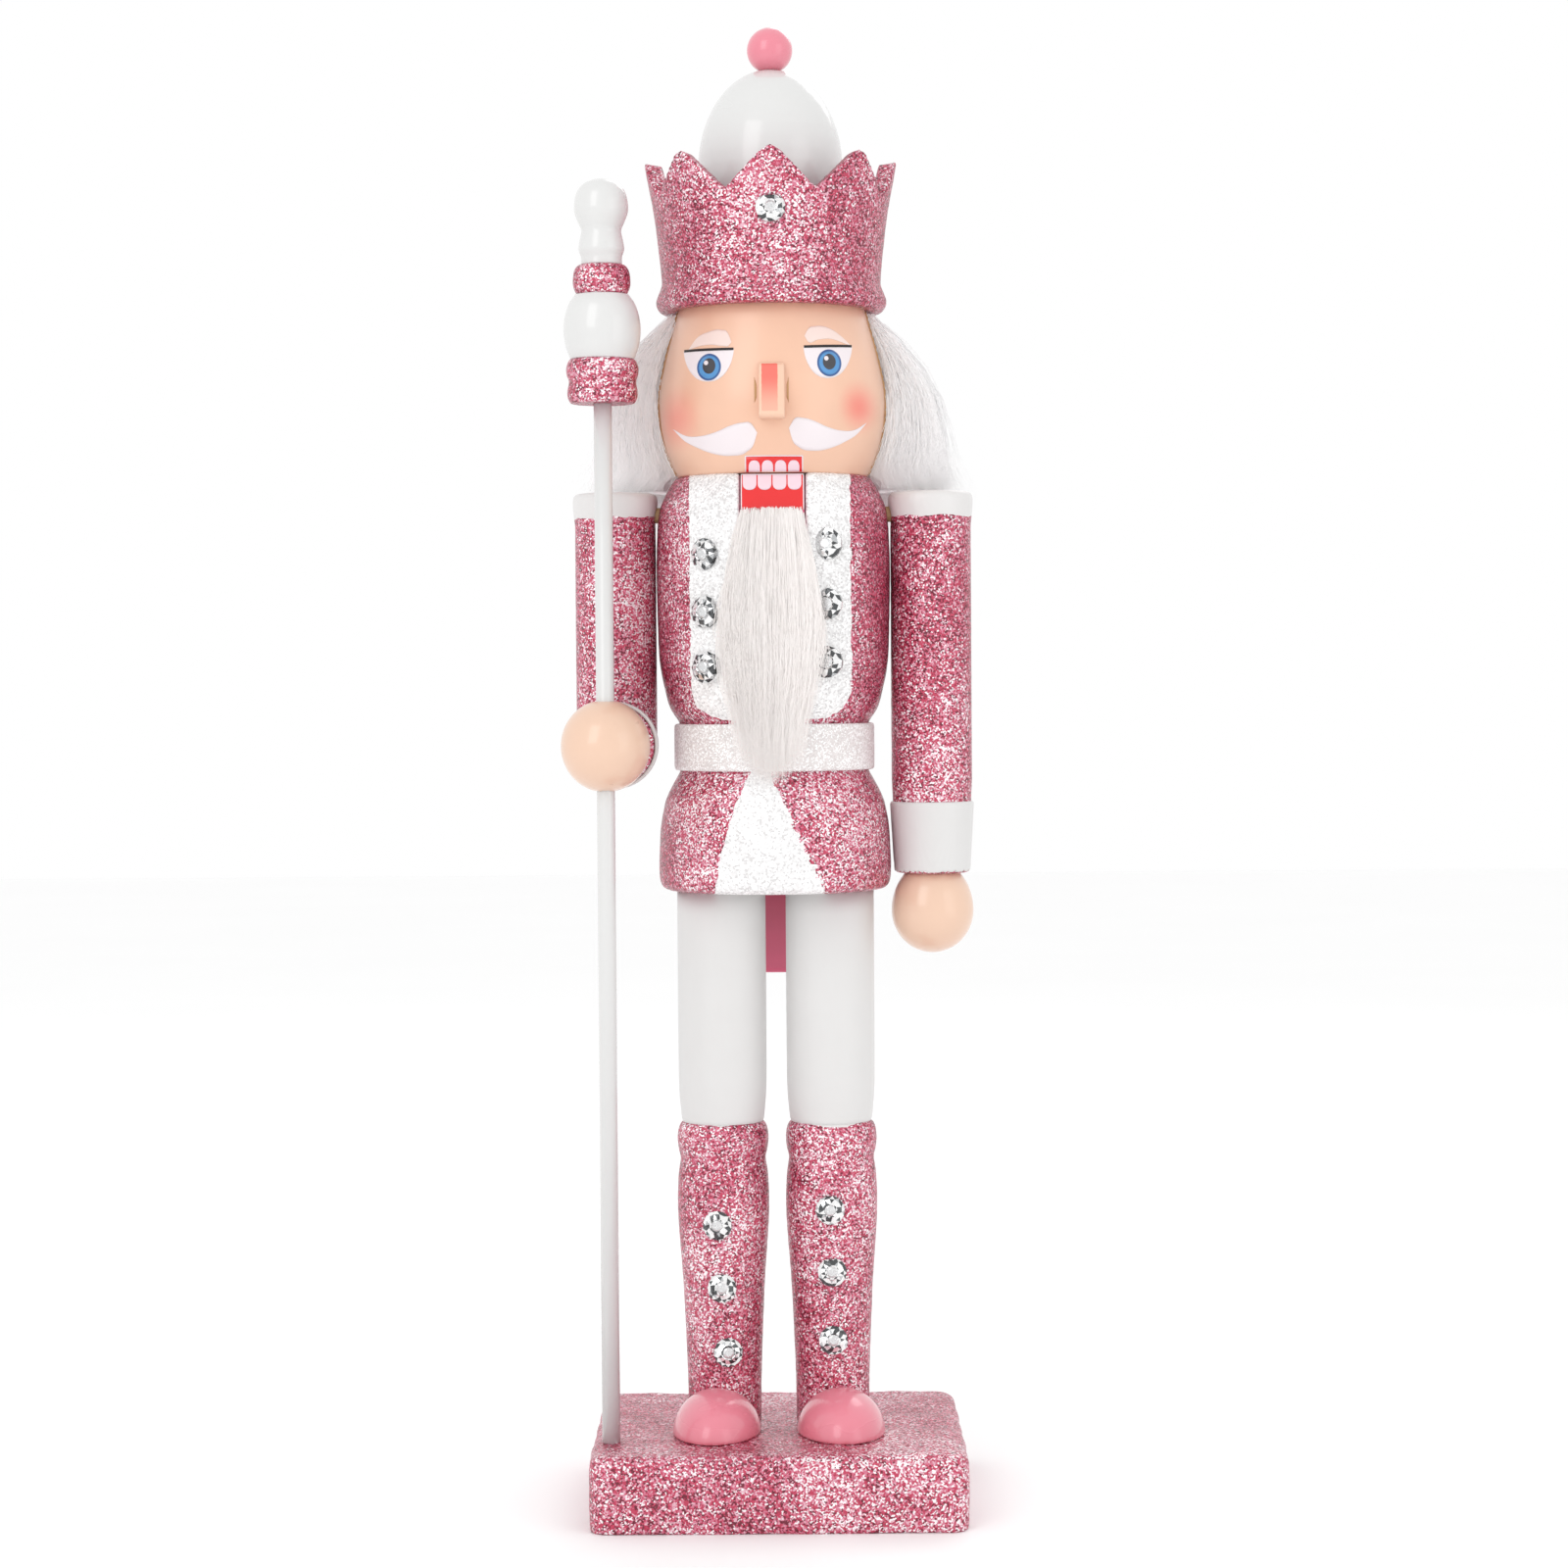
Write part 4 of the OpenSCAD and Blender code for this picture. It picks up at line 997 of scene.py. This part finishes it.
# %% A tree that grows hairs round guides
def fur_tree():
    tree = bpy.data.node_groups.new("Grow Fur", "GeometryNodeTree")
    face = tree.interface
    face.new_socket(name="Geometry", in_out="INPUT", socket_type="NodeSocketGeometry")
    for label, default in (("Root Spread", 0.8 * MM), ("Tip Spread", 3.0 * MM), ("Hair Radius", 0.1 * MM),
                           ("Frizz", 0.6 * MM)):
        face.new_socket(name=label, in_out="INPUT", socket_type="NodeSocketFloat").default_value = default
    for label, default in (("Hairs per Lock", 12), ("Seed", 1)):
        face.new_socket(name=label, in_out="INPUT", socket_type="NodeSocketInt").default_value = default
    face.new_socket(name="Finish", in_out="INPUT", socket_type="NodeSocketMaterial")
    face.new_socket(name="Geometry", in_out="OUTPUT", socket_type="NodeSocketGeometry")
    g = Graph(tree)
    given, result = g.add("NodeGroupInput").outputs, g.add("NodeGroupOutput").inputs
    guides = g.add("GeometryNodeMeshToCurve", {0: given["Geometry"]})
    bunch = g.add("GeometryNodeDuplicateElements",
                  {"Geometry": guides.outputs[0], "Amount": given["Hairs per Lock"]}, domain="SPLINE")
    along = g.add("GeometryNodeSplineParameter").outputs["Factor"]
    hair = g.add("GeometryNodeInputIndex").outputs[0]
    per_hair = g.add("GeometryNodeFieldOnDomain", {0: hair}, domain="CURVE", data_type="INT").outputs[0]

    def scatter(reach, number, identity):
        """A random vector, up to reach each way, that stays the same along a whole hair."""
        low, high = g.vector("SCALE", (-1.0, -1.0, -1.0), reach), g.vector("SCALE", (1.0, 1.0, 1.0), reach)
        seed = g.math("ADD", given["Seed"], float(number))
        node = g.add("FunctionNodeRandomValue", data_type="FLOAT_VECTOR")
        g.plug(low, node.inputs[0])
        g.plug(high, node.inputs[1])
        g.plug(identity, next(s for s in node.inputs if s.name == "ID"))
        g.plug(seed, next(s for s in node.inputs if s.name == "Seed"))
        return node.outputs[0]

    root = scatter(given["Root Spread"], 11, per_hair)
    tip = scatter(given["Tip Spread"], 23, per_hair)
    tip = g.vector("SCALE", tip, g.math("POWER", along, 1.4))
    # Each hair reads the waves at a place of its own, so neighbours do not bend together
    place = g.vector("ADD", g.add("GeometryNodeInputPosition").outputs[0], g.vector("SCALE", root, 40.0))
    waves = g.add("ShaderNodeTexNoise", {"Vector": place, "Scale": 170.0, "Detail": 1.0}).outputs["Color"]
    waves = g.vector("SUBTRACT", waves, (0.5, 0.5, 0.5))
    bend = g.math("MULTIPLY", g.math("MULTIPLY", given["Frizz"], 4.0), along)
    offset = g.vector("ADD", g.vector("ADD", root, tip), g.vector("SCALE", waves, bend))
    moved = g.add("GeometryNodeSetPosition", {"Geometry": bunch.outputs["Geometry"], "Offset": offset})
    thin = g.math("MULTIPLY", given["Hair Radius"], g.math("SUBTRACT", 1.05, g.math("POWER", along, 2.0)))
    sized = g.add("GeometryNodeSetCurveRadius", {0: moved.outputs[0], "Radius": thin})
    skin_of = g.add("GeometryNodeCurvePrimitiveCircle", {"Resolution": 3, "Radius": 1.0})
    tube = g.add("GeometryNodeCurveToMesh")
    g.plug(sized.outputs[0], tube.inputs[0])
    g.plug(skin_of.outputs[0], tube.inputs[1])
    g.plug(thin, tube.inputs["Scale"])
    g.plug(True, tube.inputs["Fill Caps"])
    real = g.add("GeometryNodeRealizeInstances", {0: tube.outputs[0]})
    finish = g.add("GeometryNodeSetMaterial", {0: real.outputs[0], "Material": given["Finish"]})
    g.plug(finish.outputs[0], result["Geometry"])
    return tree


GROW_FUR = fur_tree()
print("the fur tree has", len(GROW_FUR.nodes), "nodes")


def fur(name, guides, material, **values):
    """Grows fur round guide lines, each a list of points."""
    verts, edges = [], []
    for line in guides:
        start = len(verts)
        verts += [tuple(p) for p in line]
        edges += [(start + i, start + i + 1) for i in range(len(line) - 1)]
    data = bpy.data.meshes.new(name)
    data.from_pydata(verts, edges, [])
    piece = run_tree(new_object(name, data), GROW_FUR, {**values, "Finish": material})
    faces = piece.data.polygons
    faces.foreach_set("use_smooth", [True] * len(faces))
    volume = sum(f.center.dot(f.normal) * f.area for f in faces[:5000])
    if volume < 0:
        piece.data.flip_normals()
    piece.data.calc_loop_triangles()
    print(name, "guides", len(guides), "triangles", len(piece.data.loop_triangles), "outward", volume > 0)
    return piece


# %% [markdown]
# ## The wig
# A strip of fur is glued round the head from temple to temple, behind a line of tan glue. The pile leaves
# the scalp under the crown's brim, swells out past the cheeks, falls, and spreads where it lands on the
# shoulders.

# %% Guide lines of the wig
rng = np.random.default_rng(7)
HAIR_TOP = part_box("crown")[0][2]
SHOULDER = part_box("straight_arm")[1][2]
STEPS = 7


def underfur(z):
    """Thickness of the dense fur next to the scalp: it grows downwards from nothing under the brim."""
    heights = (-6, 0, 6, 14, 22, 30, 37, 42)
    return float(np.interp((z - NECK) / MM, heights, (10.5, 11.5, 11.5, 9.5, 8.5, 7.0, 4.0, 0.6))) * MM


def scalp(z):
    return float(head_radius(z)) if z > NECK else 28.0 * MM


def wig_line(angle, root_z, layer):
    """One lock. angle goes round the head from the right temple (0) over the back to the left (180 degrees)."""
    outward = np.array([math.cos(angle), math.sin(angle), 0.0])
    backness = max(math.sin(angle), 0.0)
    end_z = SHOULDER + (0.6 + 2.0 * rng.random()) * MM - (4 + 9 * rng.random()) * MM * backness
    proud = 0.3 + 6.0 * layer * (0.85 + 0.3 * rng.random())
    # Beside the face there is no underfur to cover: there the locks fill the whole thickness themselves
    beside_face = max(0.0, 1.0 - (90 - abs(math.degrees(angle) - 90) + 6) / 20)
    depth = 1.0 - beside_face * rng.random() ** 0.8
    flick = rng.random() ** 3 * 8.0 * (1 - 0.6 * backness)
    drift = (rng.random(2) - 0.5) * 5.0
    line = []
    for i in range(STEPS):
        t = i / (STEPS - 1)
        z = root_z + (end_z - root_z) * t ** 1.15
        lift = proud * math.sin(min(0.05 + 1.3 * t, 1.0) * math.pi / 2) - 0.5 * (1 - t) + flick * t ** 4
        p = outward * (scalp(z) + 0.3 * MM + (underfur(z) + lift * MM) * depth)
        p[0] += drift[0] * t * t * MM
        p[1] += drift[1] * t * t * MM
        p[2] = z
        line.append(p)
    return line


def wig(name, start, stop, count):
    lines = []
    for k in range(count):
        # More locks towards the face, where the strip's cut edge shows
        share = rng.random() ** 1.6 if start < 0 else 1 - rng.random() ** 1.6 if stop > 180 else rng.random()
        angle = math.radians(start + (stop - start) * share)
        layer = rng.random() ** 0.8
        root_z = HAIR_TOP - (0.6 + (1 - layer) * 28.0) * MM
        lines.append(wig_line(angle, root_z, layer))
    return fur(name, lines, hair_fur, **{"Hairs per Lock": 14, "Root Spread": 0.9 * MM, "Tip Spread": 2.4 * MM,
                                         "Hair Radius": 0.085 * MM, "Frizz": 1.1 * MM, "Seed": len(name)})


def wig_core():
    """The dense underfur: a soft shell round the back of the head that no gap between locks can show through."""
    mesh = bmesh.new()
    span, last = 60, 24
    levels = np.linspace(SHOULDER + 1.2 * MM, HAIR_TOP - 0.8 * MM, last + 1)
    grid = []
    for i in range(span + 1):
        angle = math.radians(5 + 170 * i / span)
        edge = min(1.0, min(i, span - i) / 5.0)
        column = []
        for z in levels:
            inner = scalp(z) + 0.25 * MM
            outer = inner + max(underfur(z) * (0.15 + 0.8 * math.sqrt(edge)), 0.3 * MM)
            column.append([mesh.verts.new((r * math.cos(angle), r * math.sin(angle), z)) for r in (inner, outer)])
        grid.append(column)
    for i in range(span):
        for j in range(last):
            for k in (0, 1):
                mesh.faces.new((grid[i][j][k], grid[i + 1][j][k], grid[i + 1][j + 1][k], grid[i][j + 1][k]))
        for j in (0, last):
            mesh.faces.new((grid[i][j][0], grid[i + 1][j][0], grid[i + 1][j][1], grid[i][j][1]))
    for i in (0, span):
        for j in range(last):
            mesh.faces.new((grid[i][j][0], grid[i][j][1], grid[i][j + 1][1], grid[i][j + 1][0]))
    bmesh.ops.recalc_face_normals(mesh, faces=mesh.faces)
    return to_object("wig_underfur", mesh, hair_fur)


stands_for(wig_core(), "figure", "white_fur", "hair")
for name, start, stop in (("wig_right", -5, 35), ("wig_back_right", 33, 72), ("wig_back", 70, 110),
                          ("wig_back_left", 108, 147), ("wig_left", 145, 185)):
    stands_for(wig(name, start, stop, 280), "figure", "white_fur")

# %% [markdown]
# ## The line of glue
# The strip of fur ends in a line of tan glue down each side of the face. It was squeezed on by hand, so the
# bead wanders a little and swells and thins along its way.

# %% The line of glue where the fur meets the face
def glue_line(name, angle):
    """A thin uneven bead down the edge of the face."""
    mesh = bmesh.new()
    rings = []
    rows = 60
    for i in range(rows + 1):
        z = NECK + 0.5 * MM + (HAIR_TOP - NECK - 0.5 * MM) * i / rows
        wobble = math.radians(angle) + math.radians(0.8) * math.sin(i * 1.7) * math.sin(i * 0.53)
        r = float(head_radius(z)) + 0.05 * MM
        size = (0.32 + 0.12 * math.sin(i * 2.3)) * MM
        center = Vector((r * math.cos(wobble), r * math.sin(wobble), z))
        rings.append([mesh.verts.new(center + Vector((math.cos(a) * size, math.sin(a) * size, 0)))
                      for a in np.arange(8) * math.pi / 4])
    for low, high in zip(rings, rings[1:]):
        for i in range(8):
            j = (i + 1) % 8
            mesh.faces.new((low[i], low[j], high[j], high[i]))
    mesh.faces.new(reversed(rings[0]))
    mesh.faces.new(rings[-1])
    bmesh.ops.recalc_face_normals(mesh, faces=mesh.faces)
    return stands_for(to_object(name, mesh, glue_tan), "figure", "skin_paint")


for name, angle in (("glue_line_right", -5.5), ("glue_line_left", 185.5)):
    print(name, "faces", len(glue_line(name, angle).data.polygons))

# %% [markdown]
# ## The beard
# The beard is glued to the front of the jaw, under the teeth, and drapes over the coat. When the jaw opens
# its root goes down with the jaw while its end stays on the belt.

# %% Guide lines of the beard
TEETH_END = NECK - 9.3 * MM
BEARD_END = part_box("beard")[0][2]
COAT_LINE = outline_of("torso", (0, 0))
BELT_R = (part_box("belt")[1][0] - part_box("belt")[0][0]) / 2


def chest_front(x, z):
    """How far forward the coat or the belt reaches at a place on the front."""
    r = float(np.interp(z, COAT_LINE[:, 0], COAT_LINE[:, 1]))
    return -math.sqrt(max(max(r, BELT_R) ** 2 - x * x, 1e-8))


def beard_line():
    """One lock: it fans out from the jaw, rides over the coat, and narrows again on the belt."""
    side, depth, fan = rng.uniform(-1, 1), rng.random(), 0.2 + 0.24 * abs(rng.normal())
    start_z = TEETH_END - 16 * MM * rng.random() ** 1.3
    start_x = side * (7.4 + 0.1 * (TEETH_END - start_z) / MM)
    length = (BEARD_END + (6 * abs(side) + 16 * rng.random() ** 2) * MM) - start_z
    line = []
    for i in range(STEPS):
        t = i / (STEPS - 1)
        z = start_z + length * t
        widen = 1 + fan * math.sin(math.pi * min(t * 1.1, 1)) - 0.2 * t ** 2
        x = start_x * widen - 0.6 * t + rng.normal() * 0.3 * t
        lift = 0.4 + (1.0 + 4.2 * depth) * math.sin(math.pi * min(0.03 + 0.92 * t, 1)) ** 0.6
        line.append(Vector((x * MM, chest_front(x * MM, z) - lift * MM, z)))
    return line


BEARD_BEND = ((0, -0.032, TEETH_END - 6 * MM), (0, -0.032, TEETH_END - 34 * MM))
for half in ("inner", "outer"):
    beard = fur("beard_" + half, [beard_line() for _ in range(280)], beard_fur,
                **{"Hairs per Lock": 14, "Root Spread": 0.6 * MM, "Tip Spread": 2.6 * MM, "Hair Radius": 0.075 * MM,
                   "Frizz": 1.0 * MM, "Seed": len(half)})
    if half == "inner":
        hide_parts("beard")
    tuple(BEARD_BEND[0])
    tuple(BEARD_BEND[1])
    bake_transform(beard)

# %% [markdown]
# ## Floor, light and camera
# A pale floor and three big soft lamps, as in a small product studio. The camera stands about nine tenths
# of a metre away, level with the figure's skirt, with a long lens so that the block and the crown keep
# their shapes.

# %% Studio
floor_mesh = bmesh.new()
bmesh.ops.create_grid(floor_mesh, x_segments=1, y_segments=1, size=3.0)
floor_paint, g, bsdf = finish_graph("studio_floor", Roughness=0.7)
g.plug(g.blend(g.noise(here(g), 6.0), (0.97, 0.97, 0.97, 1), (0.99, 0.99, 0.99, 1)), bsdf.inputs["Base Color"])
to_object("studio_floor", floor_mesh, floor_paint, smooth=False)

world = bpy.data.worlds.new("studio")
scene.world = world
world.use_nodes = True
world.node_tree.nodes["Background"].inputs["Color"].default_value = (1.0, 1.0, 1.0, 1.0)
world.node_tree.nodes["Background"].inputs["Strength"].default_value = 1.0


def softbox(name, place, target, size, power):
    lamp = bpy.data.lights.new(name, "AREA")
    lamp.shape, lamp.size, lamp.size_y, lamp.energy = "RECTANGLE", size[0], size[1], power
    stand = new_object(name, lamp)
    stand.location = place
    stand.rotation_euler = (Vector(target) - Vector(place)).to_track_quat("-Z", "Y").to_euler()


softbox("key", (-0.55, -0.9, 0.75), (0, 0, 0.2), (0.5, 0.9), 2.6)
softbox("fill", (0.8, -0.7, 0.35), (0, 0, 0.2), (0.5, 0.9), 1.0)
softbox("rim", (0.3, 0.8, 0.9), (0, 0, 0.25), (0.6, 0.4), 1.2)
scene.view_settings.view_transform = "Standard"
scene.view_settings.look = "None"

eye = bpy.data.cameras.new("camera")
eye.sensor_width, eye.lens = 36.0, 80.0
camera = new_object("camera", eye)
camera.location = (0.0024, -0.9, 0.2104)
tilt = Matrix.Rotation(math.radians(90 - 1.61), 3, "X")
roll = Matrix.Rotation(math.radians(-0.4), 3, "Z")
camera.rotation_euler = (tilt @ roll).to_euler()
scene.camera = camera
print("camera at", tuple(round(v, 4) for v in camera.location), "lens", round(eye.lens, 1))
